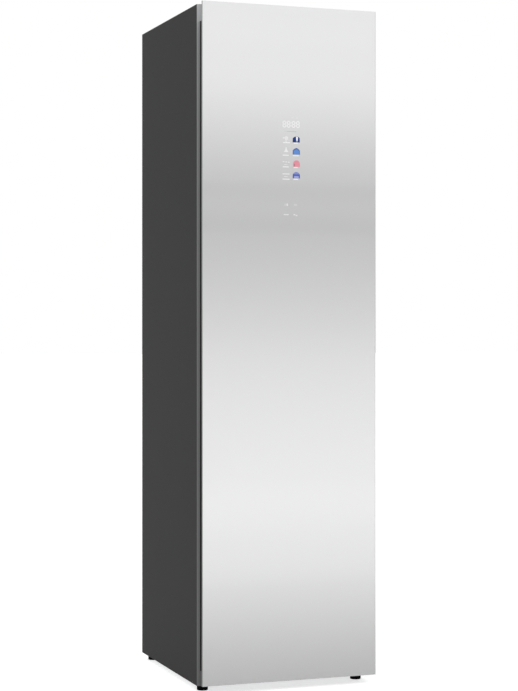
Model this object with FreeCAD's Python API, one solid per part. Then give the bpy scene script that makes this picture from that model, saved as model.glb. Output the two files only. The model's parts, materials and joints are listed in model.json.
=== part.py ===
"""Clothes care steam cabinet: tall slim cabinet with one glass-fronted door hinged on the right.

Frame: millimetres, +Z up, origin on the floor under the middle of the cabinet, -Y is the front,
+X is the right-hand side seen from the front. Every function builds one sub-part or one family
of sub-parts and exports each under its node name.
"""
import FreeCAD
import Part
import os

V = FreeCAD.Vector
UP = V(0, 0, 1)
DOWN = V(0, 0, -1)
BACKWARD = V(0, 1, 0)
FORWARD = V(0, -1, 0)
RIGHTWARD = V(1, 0, 0)

# ---- overall size -------------------------------------------------------------------------
WIDTH = 503.0
DEPTH = 574.0
HEIGHT = 1850.0
FLOOR_GAP = 18.0            # floor to the underside of the cabinet
TOP_STEP = 2.0              # the door glass stands this far above the cabinet's top

# ---- sheets and clearances ----------------------------------------------------------------
SHEET = 1.2                 # folded steel sheet of the casing
TRAY_SHEET = 2.0            # base tray
LINER = 2.0                 # chamber lining
INSULATION = 30.0           # between casing and lining
FLANGE = 22.0               # folded edges of the side panels
FIT = 0.3                   # gap between a loose piece and its seat
SHAFT_FIT = 0.05            # radial clearance of a shaft in its bore
SCREW_HEAD_R = 4.0
SCREW_HEAD_H = 1.6
SCREW_R = 1.9
SCREW_HOLE_R = 2.1
SCREW_LENGTH = 7.0
SIDE_SCREWS = 4             # down each side of the rear panel

# ---- door ---------------------------------------------------------------------------------
GLASS = 4.0
GLASS_EDGE_R = 1.0
DOOR_THICKNESS = 43.0       # glass front to the back of the door frame
DOOR_GAP = 3.0              # back of the door frame to the cabinet front
GLASS_BOTTOM = 24.0
DOOR_FRAME_BOTTOM = 22.0
DOOR_FRAME_DROP = 6.0       # top of the door frame below the top of the glass
DOOR_TOP_CAP_H = 46.5
DOOR_BOTTOM_CAP_H = 42.6
CAP_SLOPE = 3.2             # outer face of a cap stands out at its back, and is drawn in at the glass
CAP_HINGE_END = 37.0        # level ends of the caps round the hinge pins
STILE_W = 30.0
STILE_WALL = 2.0
GRIP_GAP = 12.0             # finger gap behind the glass
GRIP_DEPTH = 20.0           # how far fingers reach in from the side
INNER_PANEL = 2.0
GASKET_W = 12.0
GASKET_INSET = 15.5         # outer edge of the gasket from the side of the door
HINGE_INSET_X = 10.0        # hinge axis from the right side of the door
HINGE_INSET_Y = 22.0        # hinge axis behind the front of the glass
HINGE_PIN_R = 5.0
HINGE_PIN_LENGTH = 24.0
BUSH_WALL = 3.0
BUSH_FLANGE_R = 9.0
HINGE_PLATE_R = 9.5
HINGE_ARM_LENGTH = 90.0
UPPER_PLATE = TOP_STEP
LOWER_PLATE = 3.0
LOWER_STEP = 6.7            # front of the lower hinge plate above the part under the cabinet
DISPLAY_W = 66.0
DISPLAY_H = 292.0
DISPLAY_DROP = 288.0        # top of the display below the top of the glass
DISPLAY_CORNER_R = 3.0
DISPLAY_T = 8.0
DISPLAY_X = 3.0

# ---- chamber ------------------------------------------------------------------------------
RIM = 6.0                   # moulded frame on the front of the cabinet
CHAMBER_FLOOR_Z = 345.0
CHAMBER_FLOOR = 3.0
TOP_SPACE = 86.8            # ceiling of the chamber to the top of the cabinet, less the lining
REAR_DUCT_DEPTH = 54.0
SHELF_HEIGHT = 135.0        # shelf above the chamber floor
SHELF = 12.0
LEDGE = (10.0, 8.0)         # width and height of the shelf ledges
LEDGE_MARGIN = 30.0
LAMP = (200.0, 20.0, 4.0)
LAMP_SETBACK = 20.0
SHELF_SLOTS = 11
AIR_SLOTS = 6

# ---- rail, hangers and shaker -------------------------------------------------------------
RAIL_R = 11.0
RAIL_WALL = 1.5
RAIL_DROP = 70.0            # rail axis below the ceiling
RAIL_END_GAP = 28.0         # rail end to the side lining
POST_R = 6.0
POST_INSET = 30.0           # post axis from the end of the rail
STROKE = 8.0                # rail travel each way
STROKE_FIT = 2.0            # slot longer than the travel needs, at each end
CARRIAGE = (26.0, 6.0)      # half depth and thickness
GUIDE_H = 14.0
GUIDE_LIP = 6.0
CRANK_THROW = 12.0
CRANK_PIN_R = 3.0
CRANK_SLOT_W = 7.0
CRANK_DISC_R = 18.0
CRANK_DISC = 5.0
SHAKER_SHAFT_R = 4.0
SHAKER_BODY_R = 28.0
HOOK_INNER_R = 20.0
HOOK_WIRE_R = 2.5
HANGER_PITCH = 100.0
HANGER_END_GAP = 32.0       # hanger end to the front and back of the chamber
HANGER_T = 14.0
HANGER_NECK = 12.0          # half width of the shoulder under the hook
HANGER_FALL = 72.0          # how far the shoulders slope down
HANGER_ARM = 18.0           # depth of an arm
HANGER_TIP = 12.0

# ---- lower compartment --------------------------------------------------------------------
TANK_DEPTH = 110.0
TANK_HEIGHT = 208.0
TANK_WALL = 2.5
TANK_LID = 8.0
TANK_CORNER_R = 8.0
TANK_FRONT_GAP = 4.0        # tank front behind the front of the cabinet
TANK_SIDE_GAP = 4.0
TANK_TOP_GAP = 12.0
BAY_WALL = 2.0
BAY_LIFT = 4.0              # bay floor above the tops of the foot stems
BAY_HINGE_SIDE = 81.5       # bay ends this far from the right side of the cabinet
GRIP_POCKET = (90.0, 30.0, 20.0)
GRIP_POCKET_DROP = 20.0
MACHINE_GAP = 10.0          # between neighbouring machines
COMPRESSOR_R = 70.0
COMPRESSOR_H = 175.0
MOUNT_H = 15.0
MOUNT_R = 11.0
STEAM_BOX = (80.0, 95.0, 110.0)
NOZZLE_R = 9.0
COIL_H = 54.0
COIL_GAP = 6.0
COIL_SLOTS = 12
COIL_TUBES = 4
FILTER_DEPTH = 18.0
FILTER_LIP = 8.0
FILTER_WALL = 2.0
FILTER_MARGIN = 8.0         # fan housing wall to the filter opening
FILTER_SLOTS = 14
FAN_R = 48.0
FAN_W = 60.0
FAN_AXIS_LIFT = 72.0        # fan axis above the bottom of its housing
FAN_SHAFT_R = 4.0
BLADE = 1.5
BLADE_CHORD = 14.0
BLADE_COUNT = 16
BLADE_PITCH = 35.0          # degrees
SHAFT_HOLE_GAP = 2.0
HOUSING_WALL = 3.0
HOUSING_LIFT = 30.0         # fan housing above the base tray
HOUSING_FRONT_GAP = 22.7    # fan motor behind the steam generator
FAN_MOTOR = (34.0, 46.0)    # radius and length
PUMP_R = 20.0
PUMP_L = 70.0
PIPE_R = 5.0
PIPE_BEND_R = 15.0
CONTROL_BOX = (112.0, 110.0, 150.0)
INLET_R = 13.0
INLET_LIP = 2.0
INLET_Z = 290.0
INLET_INSET = 42.0
VENT = (6.0, 16.0)          # height and pitch of the rear louvres
COVER_INSET = (70.4, 100.6)  # rear cover to the left and right side of the cabinet
TIP_HOLE_R = 2.5
TIP_HOLE_SPACING = 300.0
TIP_HOLE_DROP = 48.0

# ---- feet ---------------------------------------------------------------------------------
FOOT_R = 15.0
FOOT_H = 12.5
FOOT_EDGE_R = 1.5
FOOT_NUT = (9.0, 2.0)
FOOT_STEM_R = 5.0
FOOT_STEM_SPARE = 6.0       # stem left above its boss with the foot screwed right out
FOOT_INSET_X = 27.0
FRONT_FOOT_Y = 80.0         # behind the front of the glass
REAR_FOOT_Y = 26.0          # ahead of the back
BOSS_R = 10.0
BOSS_H = 16.0
FOOT_TRAVEL = 10.0

# ---- planes worked out from the sizes above -----------------------------------------------
LEFT, RIGHT = -WIDTH / 2, WIDTH / 2
GLASS_FRONT, BACK = -DEPTH / 2, DEPTH / 2
GLASS_BACK = GLASS_FRONT + GLASS
FRAME_BACK = GLASS_FRONT + DOOR_THICKNESS
FRONT = FRAME_BACK + DOOR_GAP
BOTTOM, TOP = FLOOR_GAP, HEIGHT - TOP_STEP
IN_LEFT, IN_RIGHT = LEFT + SHEET, RIGHT - SHEET
TRAY_TOP = BOTTOM + TRAY_SHEET
ROOF = TOP - SHEET
RIM_BACK = FRONT + RIM
COVER_OUT = BACK - SCREW_HEAD_H - FIT
REAR_OUT = COVER_OUT - SHEET
REAR_IN = REAR_OUT - SHEET
CHAMBER_X = WIDTH / 2 - SHEET - INSULATION - LINER
CHAMBER_BACK = REAR_IN - REAR_DUCT_DEPTH - LINER
LINER_BACK = CHAMBER_BACK + LINER
CEILING_Z = ROOF - TOP_SPACE
CHAMBER_UNDER = CHAMBER_FLOOR_Z - CHAMBER_FLOOR
HINGE_X = RIGHT - HINGE_INSET_X
HINGE_Y = GLASS_FRONT + HINGE_INSET_Y
FRAME_TOP = HEIGHT - DOOR_FRAME_DROP
STILE_Z = (DOOR_FRAME_BOTTOM + DOOR_BOTTOM_CAP_H, FRAME_TOP - DOOR_TOP_CAP_H)
DISPLAY_Z = (HEIGHT - DISPLAY_DROP - DISPLAY_H, HEIGHT - DISPLAY_DROP)
RAIL_Y = (RIM_BACK + CHAMBER_BACK) / 2
RAIL_Z = CEILING_Z - RAIL_DROP
RAIL_X = CHAMBER_X - RAIL_END_GAP
POST_X = RAIL_X - POST_INSET
CARRIAGE_Z = CEILING_Z + LINER + GUIDE_H
FOOT_STEM_TOP = TRAY_TOP + BOSS_H + FOOT_TRAVEL + FOOT_STEM_SPARE
BAY_X = (IN_LEFT + FLANGE + FIT, RIGHT - BAY_HINGE_SIDE)
BAY_FLOOR_Z = FOOT_STEM_TOP + BAY_LIFT
TANK_TOP = BAY_FLOOR_Z + TANK_HEIGHT
BAY_ROOF_Z = TANK_TOP + TANK_TOP_GAP
TANK_FRONT = FRONT + TANK_FRONT_GAP
BAY_BACK = TANK_FRONT + TANK_DEPTH + TANK_FRONT_GAP
SHELF_Z = CHAMBER_FLOOR_Z + SHELF_HEIGHT
BASE_PLATE = 3.0
COMPRESSOR_X = IN_RIGHT - COMPRESSOR_R - 2 * MACHINE_GAP
COMPRESSOR_Y = LINER_BACK - COMPRESSOR_R
HOUSING_X = (-CHAMBER_X + LINER + 6 * MACHINE_GAP, COMPRESSOR_X - COMPRESSOR_R - 2 * MACHINE_GAP)
HOUSING_Y = (BAY_BACK + BAY_WALL + MACHINE_GAP + STEAM_BOX[1] + HOUSING_FRONT_GAP + FAN_MOTOR[1], LINER_BACK)
HOUSING_MID = (HOUSING_X[0] + HOUSING_X[1]) / 2
FILTER_X = (HOUSING_X[0] + FILTER_MARGIN, HOUSING_X[1] - FILTER_MARGIN)
FILTER_Y = (HOUSING_Y[0] + FILTER_MARGIN, HOUSING_Y[1] - 2 * FILTER_MARGIN)


def extruded_along_x(outline, x):
    """A closed outline of (y, z) points pushed from one x to the other."""
    wire = Part.makePolygon([V(x[0], y, z) for y, z in outline + outline[:1]])
    return Part.Face(wire).extrude(V(x[1] - x[0], 0, 0))


def block(x, y, z):
    """Box between two planes along each axis."""
    return Part.makeBox(x[1] - x[0], y[1] - y[0], z[1] - z[0], V(x[0], y[0], z[0]))


def rod(radius, start, along, length):
    return Part.makeCylinder(radius, length, V(*start), along)


def fuse(shapes):
    shapes = list(shapes)
    return shapes[0].multiFuse(shapes[1:]).removeSplitter() if len(shapes) > 1 else shapes[0]


def cut(shape, tools):
    return shape.cut(list(tools)).removeSplitter()


def round_edges(shape, radius, along):
    """Round the straight edges that run along one direction."""
    edges = [edge for edge in shape.Edges
             if isinstance(edge.Curve, Part.Line) and abs(edge.Curve.Direction.dot(along)) > 0.999]
    return shape.makeFillet(radius, edges)


def shell_box(x, y, z, wall):
    """Closed hollow box."""
    inner = block((x[0] + wall, x[1] - wall), (y[0] + wall, y[1] - wall), (z[0] + wall, z[1] - wall))
    return block(x, y, z).cut(inner)


def mirrored(shape):
    return shape.mirror(V(0, 0, 0), RIGHTWARD)


def around(value, half):
    return (value - half, value + half)


def spread(low, high, count):
    """Evenly spaced values from low to high."""
    return [low + (high - low) * i / (count - 1) for i in range(count)]


def pipe(points):
    """Round pipe with straight runs and tangent quarter bends."""
    points = [V(*p) for p in points]
    edges, start = [], points[0]
    for before, corner, after in zip(points, points[1:], points[2:]):
        back = (before - corner).normalize()
        on = (after - corner).normalize()
        first, last = corner + back * PIPE_BEND_R, corner + on * PIPE_BEND_R
        centre = first + on * PIPE_BEND_R
        middle = centre + (corner - centre).normalize() * PIPE_BEND_R
        edges += [Part.LineSegment(start, first).toShape(), Part.Arc(first, middle, last).toShape()]
        start = last
    edges.append(Part.LineSegment(start, points[-1]).toShape())
    path = Part.Wire(edges)
    ring = Part.Wire(Part.Circle(points[0], points[1] - points[0], PIPE_R).toShape())
    return path.makePipeShell([ring], True, True)


def export(name, shape):
    if not shape.isValid():
        raise ValueError(name + " is not a valid shape")
    shape.exportStep("parts/" + name + ".step")


# ---- casing -------------------------------------------------------------------------------
def side_panels():
    height = (BOTTOM, TOP)
    between = (TRAY_TOP, ROOF)
    plate = block((LEFT, IN_LEFT), (FRONT, BACK), height)
    front = block((IN_LEFT, IN_LEFT + FLANGE), (RIM_BACK, RIM_BACK + SHEET), between)
    rear = block((IN_LEFT, IN_LEFT + FLANGE), (REAR_IN - SHEET, REAR_IN), between)
    panel = fuse([plate, front, rear])
    right = cut(mirrored(panel), [screw_hole(s) for s in rear_screws()])
    export("left_side_panel", cut(panel, [screw_hole(s) for s in rear_screws()]))
    export("right_side_panel", right)


def top_panel():
    plate = block((IN_LEFT, IN_RIGHT), (FRONT, REAR_OUT), (ROOF, TOP))
    fold_y = (RIM_BACK + 2 * SHEET, REAR_IN - 2 * SHEET)
    fold = block((IN_LEFT, IN_LEFT + SHEET), fold_y, (TOP - FLANGE, ROOF))
    panel = fuse([plate, fold, mirrored(fold)])
    export("top_panel", cut(panel, [screw_hole(s) for s in hinge_screws(TOP)]))


def cover_span():
    """The service cover and the opening behind it, on the rear panel."""
    return (LEFT + COVER_INSET[0], RIGHT - COVER_INSET[1]), (TRAY_TOP + 2 * FLANGE, CHAMBER_UNDER - FLANGE)


def rear_screws():
    """Head seat and axis of the screws that hold the rear panel."""
    xs = around(0, RIGHT - FLANGE / 2 - SHEET)
    zs = spread(TRAY_TOP + FLANGE, ROOF - FLANGE, SIDE_SCREWS)
    return [((x, REAR_OUT, z), FORWARD) for x in xs for z in zs]


def cover_screws():
    (x0, x1), (z0, z1) = cover_span()
    edge = FLANGE / 3
    return [((x, COVER_OUT, z), FORWARD) for x in (x0 + edge, x1 - edge) for z in (z0 + edge, z1 - edge)]


def hinge_screws(seat):
    """Screws through the upper or the lower hinge plate."""
    along = DOWN if seat > TOP / 2 else UP
    ys = spread(FRONT + FLANGE, HINGE_Y + HINGE_ARM_LENGTH - FLANGE / 2, 2)
    return [((HINGE_X, y, seat), along) for y in ys]


def screw_hole(screw):
    seat, along = screw
    start = V(*seat) - along * SCREW_LENGTH
    return Part.makeCylinder(SCREW_HOLE_R, 3 * SCREW_LENGTH, start, along)


def screw_solid(screw):
    seat, along = screw
    head = Part.makeCylinder(SCREW_HEAD_R, SCREW_HEAD_H, V(*seat), along * -1)
    return fuse([head, Part.makeCylinder(SCREW_R, SCREW_LENGTH, V(*seat), along)])


def sunk_screw(screw):
    """Screw with its head level with the face that it is driven into."""
    seat, along = screw
    head = Part.makeCylinder(SCREW_HEAD_R, SCREW_HEAD_H / 2, V(*seat), along)
    return fuse([head, Part.makeCylinder(SCREW_R, SCREW_LENGTH, V(*seat), along)])


def sunk_seat(screw):
    seat, along = screw
    return Part.makeCylinder(SCREW_HEAD_R + FIT, SCREW_HEAD_H / 2, V(*seat), along)


def rear_panel_and_cover():
    plate = block((IN_LEFT, IN_RIGHT), (REAR_IN, REAR_OUT), (TRAY_TOP, ROOF))
    (x0, x1), (z0, z1) = cover_span()
    opening = block((x0 + FLANGE, x1 - FLANGE), (REAR_IN, REAR_OUT), (z0 + FLANGE, z1 - FLANGE))
    inlet = rod(INLET_R - 2 * FIT, (IN_RIGHT - INLET_INSET, REAR_IN, INLET_Z), BACKWARD, SHEET)
    holes = [rod(TIP_HOLE_R, (x, REAR_IN, TOP - TIP_HOLE_DROP), BACKWARD, SHEET)
             for x in around(0, TIP_HOLE_SPACING / 2)]
    screws = [screw_hole(s) for s in rear_screws() + cover_screws()]
    export("rear_panel", cut(plate, [opening, inlet] + holes + screws))

    cover = block((x0, x1), (REAR_OUT, COVER_OUT), (z0, z1))
    vents = [block((x0 + 2 * FLANGE, x1 - 2 * FLANGE), (REAR_OUT, COVER_OUT), (z, z + VENT[0]))
             for z in spread(z0 + 2 * FLANGE, z1 - 2 * FLANGE, int((z1 - z0 - 4 * FLANGE) / VENT[1]))]
    export("rear_service_cover", cut(cover, vents + [screw_hole(s) for s in cover_screws()]))


def foot_places():
    front_y, rear_y = GLASS_FRONT + FRONT_FOOT_Y, BACK - REAR_FOOT_Y
    x = RIGHT - FOOT_INSET_X
    return {"foot_front_left": (-x, front_y), "foot_front_right": (x, front_y),
            "foot_rear_left": (-x, rear_y), "foot_rear_right": (x, rear_y)}


def base_tray():
    plate = block((IN_LEFT, IN_RIGHT), (FRONT, REAR_OUT), (BOTTOM, TRAY_TOP))
    places = list(foot_places().values())
    bosses = [rod(BOSS_R, (x, y, TRAY_TOP), UP, BOSS_H) for x, y in places]
    bores = [rod(FOOT_STEM_R + SHAFT_FIT, (x, y, BOTTOM), UP, TRAY_SHEET + BOSS_H) for x, y in places]
    screws = [screw_hole(s) for s in hinge_screws(BOTTOM - LOWER_PLATE)]
    export("base_tray", cut(fuse([plate] + bosses), bores + screws))


def feet():
    for name, (x, y) in foot_places().items():
        pad = rod(FOOT_R, (x, y, 0), UP, FOOT_H)
        pad = pad.makeFillet(FOOT_EDGE_R, [pad.Edges[0]])
        nut = rod(FOOT_NUT[0], (x, y, FOOT_H), UP, FOOT_NUT[1])
        stem = rod(FOOT_STEM_R, (x, y, FOOT_H), UP, FOOT_STEM_TOP - FOOT_H)
        export(name, fuse([pad, nut, stem]))


def front_rim():
    frame = block((IN_LEFT, IN_RIGHT), (FRONT, RIM_BACK), (TRAY_TOP, ROOF))
    chamber = block((-CHAMBER_X, CHAMBER_X), (FRONT, RIM_BACK), (CHAMBER_FLOOR_Z, CEILING_Z))
    bay = block((BAY_X[0] + BAY_WALL, BAY_X[1] - BAY_WALL), (FRONT, RIM_BACK), (BAY_FLOOR_Z, BAY_ROOF_Z))
    export("front_rim", cut(frame, [chamber, bay]))


# ---- chamber ------------------------------------------------------------------------------
def chamber_lining():
    height = (CHAMBER_UNDER, CEILING_Z + LINER)
    left = block((-CHAMBER_X - LINER, -CHAMBER_X), (RIM_BACK, LINER_BACK), height)
    export("liner_left", left)
    export("liner_right", mirrored(left))

    back = block((-CHAMBER_X, CHAMBER_X), (CHAMBER_BACK, LINER_BACK), height)
    (x0, x1), (z0, z1) = duct_window()
    slots = [block((x0, x1), (CHAMBER_BACK, LINER_BACK), (z, z + VENT[0]))
             for z in spread(z0, z1 - VENT[0], AIR_SLOTS)]
    export("liner_back", cut(back, slots))

    ceiling = block((-CHAMBER_X, CHAMBER_X), (RIM_BACK, CHAMBER_BACK), (CEILING_Z, CEILING_Z + LINER))
    half = POST_R + STROKE + STROKE_FIT
    slots = [block(around(x, half), around(RAIL_Y, POST_R + STROKE_FIT), (CEILING_Z, CEILING_Z + LINER))
             for x in (-POST_X, POST_X)]
    export("chamber_ceiling", cut(ceiling, slots))

    floor = block((-CHAMBER_X, CHAMBER_X), (RIM_BACK, CHAMBER_BACK), (CHAMBER_UNDER, CHAMBER_FLOOR_Z))
    filter_hole = block(FILTER_X, FILTER_Y, (CHAMBER_UNDER, CHAMBER_FLOOR_Z))
    x, y = nozzle_place()
    nozzle_hole = rod(NOZZLE_R, (x, y, CHAMBER_UNDER), UP, CHAMBER_FLOOR)
    x, y = drain_place()
    drain_hole = rod(PIPE_R, (x, y, CHAMBER_UNDER), UP, CHAMBER_FLOOR)
    export("chamber_floor", cut(floor, [filter_hole, nozzle_hole, drain_hole]))


def wall_insulation():
    mat = block((IN_LEFT, IN_LEFT + INSULATION), (RIM_BACK + SHEET, LINER_BACK), (CHAMBER_UNDER, CEILING_Z))
    export("wall_insulation", Part.makeCompound([mat, mirrored(mat)]))


def chamber_lamp():
    length, depth, thick = LAMP
    y = RIM_BACK + LAMP_SETBACK
    lens = block(around(0, length / 2), (y, y + depth), (CEILING_Z - thick, CEILING_Z))
    export("chamber_lamp", round_edges(lens, depth / 3, UP))


def shelf_and_ledges():
    ys = (RIM_BACK + LEDGE_MARGIN, CHAMBER_BACK - LEDGE_MARGIN)
    ledge = block((-CHAMBER_X, -CHAMBER_X + LEDGE[0]), ys, (SHELF_Z - LEDGE[1], SHELF_Z))
    export("shelf_ledges", Part.makeCompound([ledge, mirrored(ledge)]))

    half = CHAMBER_X - 2 * FIT
    ys = (RIM_BACK + LEDGE[0], CHAMBER_BACK - LEDGE[0])
    plate = block((-half, half), ys, (SHELF_Z, SHELF_Z + SHELF))
    inner = block((-half + LEDGE[0], half - LEDGE[0]), (ys[0] + LEDGE[0], ys[1] - LEDGE[0]),
                  (SHELF_Z + SHELF / 3, SHELF_Z + SHELF))
    slots = [block((x - SHELF / 2, x + SHELF / 2), (ys[0] + 2 * SHELF, ys[1] - 2 * SHELF),
                   (SHELF_Z, SHELF_Z + SHELF))
             for x in spread(-half + 3 * SHELF, half - 3 * SHELF, SHELF_SLOTS)]
    export("shelf", cut(plate, [inner] + slots))


# ---- rail, hangers and shaker -------------------------------------------------------------
def hanger_rail():
    outer = rod(RAIL_R, (-RAIL_X, RAIL_Y, RAIL_Z), RIGHTWARD, 2 * RAIL_X)
    outer = outer.makeFillet(RAIL_WALL, [e for e in outer.Edges if isinstance(e.Curve, Part.Circle)])
    length = 2 * (RAIL_X - RAIL_WALL)
    bore = rod(RAIL_R - RAIL_WALL, (-length / 2, RAIL_Y, RAIL_Z), RIGHTWARD, length)
    posts = [rod(POST_R, (x, RAIL_Y, RAIL_Z), UP, CARRIAGE_Z - RAIL_Z) for x in (-POST_X, POST_X)]
    export("hanger_rail", fuse([outer] + posts).cut(bore))


def rail_carriage_and_guides():
    half_depth, thick = CARRIAGE
    half_length = POST_X + 2 * POST_R
    plate = block((-half_length, half_length), around(RAIL_Y, half_depth), (CARRIAGE_Z, CARRIAGE_Z + thick))
    reach = CRANK_THROW + CRANK_PIN_R + STROKE_FIT
    slot = block(around(0, CRANK_SLOT_W / 2), around(RAIL_Y, reach), (CARRIAGE_Z, CARRIAGE_Z + thick))
    export("rail_carriage", round_edges(plate, thick, UP).cut(slot))

    length = half_length + STROKE + STROKE_FIT
    z0, top = CEILING_Z + LINER, CARRIAGE_Z + thick
    inner, outer = RAIL_Y - half_depth + GUIDE_LIP, RAIL_Y - half_depth - GUIDE_LIP
    rest = block((-length, length), (outer, inner), (z0, CARRIAGE_Z - FIT))
    lip = block((-length, length), (outer, RAIL_Y - half_depth - FIT), (CARRIAGE_Z - FIT, top))
    guide = fuse([rest, lip])
    other = guide.mirror(V(0, RAIL_Y, 0), BACKWARD)
    export("rail_guides", Part.makeCompound([guide, other]))


def shaker():
    disc_z = CARRIAGE_Z + CARRIAGE[1] + STROKE_FIT
    disc_top = disc_z + CRANK_DISC
    body_z = disc_top + GUIDE_LIP
    shaft_l = 3 * GUIDE_LIP
    disc = rod(CRANK_DISC_R, (0, RAIL_Y, disc_z), UP, CRANK_DISC)
    pin = rod(CRANK_PIN_R, (0, RAIL_Y + CRANK_THROW, CARRIAGE_Z + STROKE_FIT / 2), UP, disc_z - CARRIAGE_Z)
    shaft = rod(SHAKER_SHAFT_R, (0, RAIL_Y, disc_z), UP, CRANK_DISC + shaft_l)
    export("shaker_crank", fuse([disc, pin, shaft]))

    feet_y = CARRIAGE[0] + 2 * GUIDE_LIP + STROKE_FIT
    leg_z = CEILING_Z + LINER
    bore = rod(SHAKER_SHAFT_R + SHAFT_FIT, (0, RAIL_Y, disc_top), UP, shaft_l + STROKE_FIT)
    body = rod(SHAKER_BODY_R, (0, RAIL_Y, body_z), UP, ROOF - 2 * GUIDE_LIP - body_z)
    plate = block(around(0, SHAKER_BODY_R), around(RAIL_Y, feet_y), (body_z, body_z + 2 * SHEET))
    legs = [block(around(0, SHAKER_BODY_R), around(RAIL_Y + side * (feet_y - SHEET), SHEET),
                  (leg_z, body_z + 2 * SHEET)) for side in (-1, 1)]
    export("shaker_motor", fuse([body, plate] + legs).cut(bore))


def hangers():
    hook_r = HOOK_INNER_R + HOOK_WIRE_R
    centre_z = RAIL_Z + RAIL_R + FIT - HOOK_INNER_R
    base_z = centre_z - hook_r - HOOK_INNER_R
    half = (CHAMBER_BACK - RIM_BACK) / 2 - HANGER_END_GAP
    ring = Part.makeTorus(hook_r, HOOK_WIRE_R, V(0, 0, 0), UP, -180, 180, 270)
    ring.rotate(V(0, 0, 0), BACKWARD, -90)
    ring.rotate(V(0, 0, 0), RIGHTWARD, 90)
    ring.translate(V(0, RAIL_Y, centre_z))
    stem = rod(HOOK_WIRE_R, (0, RAIL_Y, base_z), UP, centre_z - hook_r - base_z)

    def at(y, z):
        return V(-HANGER_T / 2, RAIL_Y + y, base_z + z)

    tip, under = half - HANGER_TIP / 2, half - HANGER_TIP
    low = -HANGER_FALL - HANGER_ARM
    sides = []
    for side in (1, -1):
        upper = Part.Arc(at(side * HANGER_NECK, 0), at(side * half / 2, -HANGER_FALL / 3 - FIT),
                         at(side * tip, -HANGER_FALL)).toShape()
        end = Part.Arc(at(side * tip, -HANGER_FALL), at(side * half, (low - HANGER_FALL) / 2),
                       at(side * under, low)).toShape()
        lower = Part.Arc(at(side * under, low), at(side * half / 2, low / 2 - HANGER_ARM / 3),
                         at(0, -1.5 * HANGER_ARM)).toShape()
        sides += [upper, end, lower]
    cap = Part.LineSegment(at(-HANGER_NECK, 0), at(HANGER_NECK, 0)).toShape()
    outline = Part.Wire(Part.__sortEdges__(sides + [cap]))
    body = Part.Face(outline).extrude(V(HANGER_T, 0, 0))
    whole = fuse([body, stem, ring])
    for name, x in (("hanger_left", -HANGER_PITCH), ("hanger_middle", 0), ("hanger_right", HANGER_PITCH)):
        export(name, whole.translated(V(x, 0, 0)))


# ---- lower compartment --------------------------------------------------------------------
def tank_spans():
    """Width of the supply tank and of the drain tank in their bay."""
    x0, x1 = BAY_X[0] + BAY_WALL, BAY_X[1] - BAY_WALL
    middle = (x0 + x1) / 2
    return ((x0 + TANK_SIDE_GAP, middle - BAY_WALL / 2 - TANK_SIDE_GAP),
            (middle + BAY_WALL / 2 + TANK_SIDE_GAP, x1 - TANK_SIDE_GAP))


def tank_bay():
    """Open-fronted housing of the two tanks; its back wall stands on the base tray."""
    outer = block(BAY_X, (RIM_BACK, BAY_BACK + BAY_WALL), (BAY_FLOOR_Z - BAY_WALL, BAY_ROOF_Z + BAY_WALL))
    inner = block((BAY_X[0] + BAY_WALL, BAY_X[1] - BAY_WALL), (RIM_BACK, BAY_BACK), (BAY_FLOOR_Z, BAY_ROOF_Z))
    middle = (BAY_X[0] + BAY_X[1]) / 2
    divider = block(around(middle, BAY_WALL / 2), (RIM_BACK, BAY_BACK), (BAY_FLOOR_Z, BAY_ROOF_Z))
    back = block(BAY_X, (BAY_BACK, BAY_BACK + BAY_WALL), (TRAY_TOP, CHAMBER_UNDER))
    export("tank_bay", fuse([outer.cut(inner), divider, back]))


def tanks():
    y = (TANK_FRONT, TANK_FRONT + TANK_DEPTH)
    z = (BAY_FLOOR_Z + FIT, TANK_TOP - TANK_LID)
    width, height, depth = GRIP_POCKET
    for name, x in zip(("supply_tank", "drain_tank"), tank_spans()):
        outer = round_edges(block(x, y, z), TANK_CORNER_R, UP)
        inner = block((x[0] + TANK_WALL, x[1] - TANK_WALL), (y[0] + TANK_WALL, y[1] - TANK_WALL),
                      (z[0] + TANK_WALL, z[1]))
        inner = round_edges(inner, TANK_CORNER_R - TANK_WALL, UP)
        middle = (x[0] + x[1]) / 2
        top = z[1] - GRIP_POCKET_DROP
        pocket = block(around(middle, width / 2), (y[0], y[0] + depth), (top - height, top))
        lining = block(around(middle, width / 2 + TANK_WALL), (y[0], y[0] + depth + TANK_WALL),
                       (top - height - TANK_WALL, top + TANK_WALL))
        export(name, outer.cut(pocket).cut(inner.cut(lining)))

        lid = round_edges(block(x, y, (z[1], TANK_TOP - TANK_LID / 2)), TANK_CORNER_R, UP)
        spigot = block((x[0] + TANK_WALL + FIT, x[1] - TANK_WALL - FIT),
                       (y[0] + TANK_WALL + FIT, y[1] - TANK_WALL - FIT), (z[1] - TANK_LID, z[1]))
        spigot = round_edges(spigot, TANK_CORNER_R - TANK_WALL, UP)
        cap = rod(depth, (middle, (y[0] + y[1]) / 2, TANK_TOP - TANK_LID / 2), UP, TANK_LID / 2)
        export(name + "_lid", fuse([lid, spigot, cap]))


def compressor():
    x, y = COMPRESSOR_X, COMPRESSOR_Y
    base_z = TRAY_TOP + MOUNT_H
    half = COMPRESSOR_R + MACHINE_GAP / 2
    plate = round_edges(block(around(x, half), around(y, half), (base_z, base_z + BASE_PLATE)), MOUNT_R, UP)
    can = rod(COMPRESSOR_R, (x, y, base_z), UP, COMPRESSOR_H)
    can = can.makeFillet(COMPRESSOR_R / 2, [e for e in can.Edges if e.BoundBox.ZMin > base_z + 1
                                            and isinstance(e.Curve, Part.Circle)])
    export("compressor", fuse([plate, can]))
    inset = half - MOUNT_R
    mounts = [rod(MOUNT_R, (x + dx, y + dy, TRAY_TOP), UP, MOUNT_H)
              for dx in (-inset, inset) for dy in (-inset, inset)]
    export("compressor_mounts", Part.makeCompound(mounts))


def housing_span():
    return (TRAY_TOP + HOUSING_LIFT, CHAMBER_UNDER)


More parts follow.
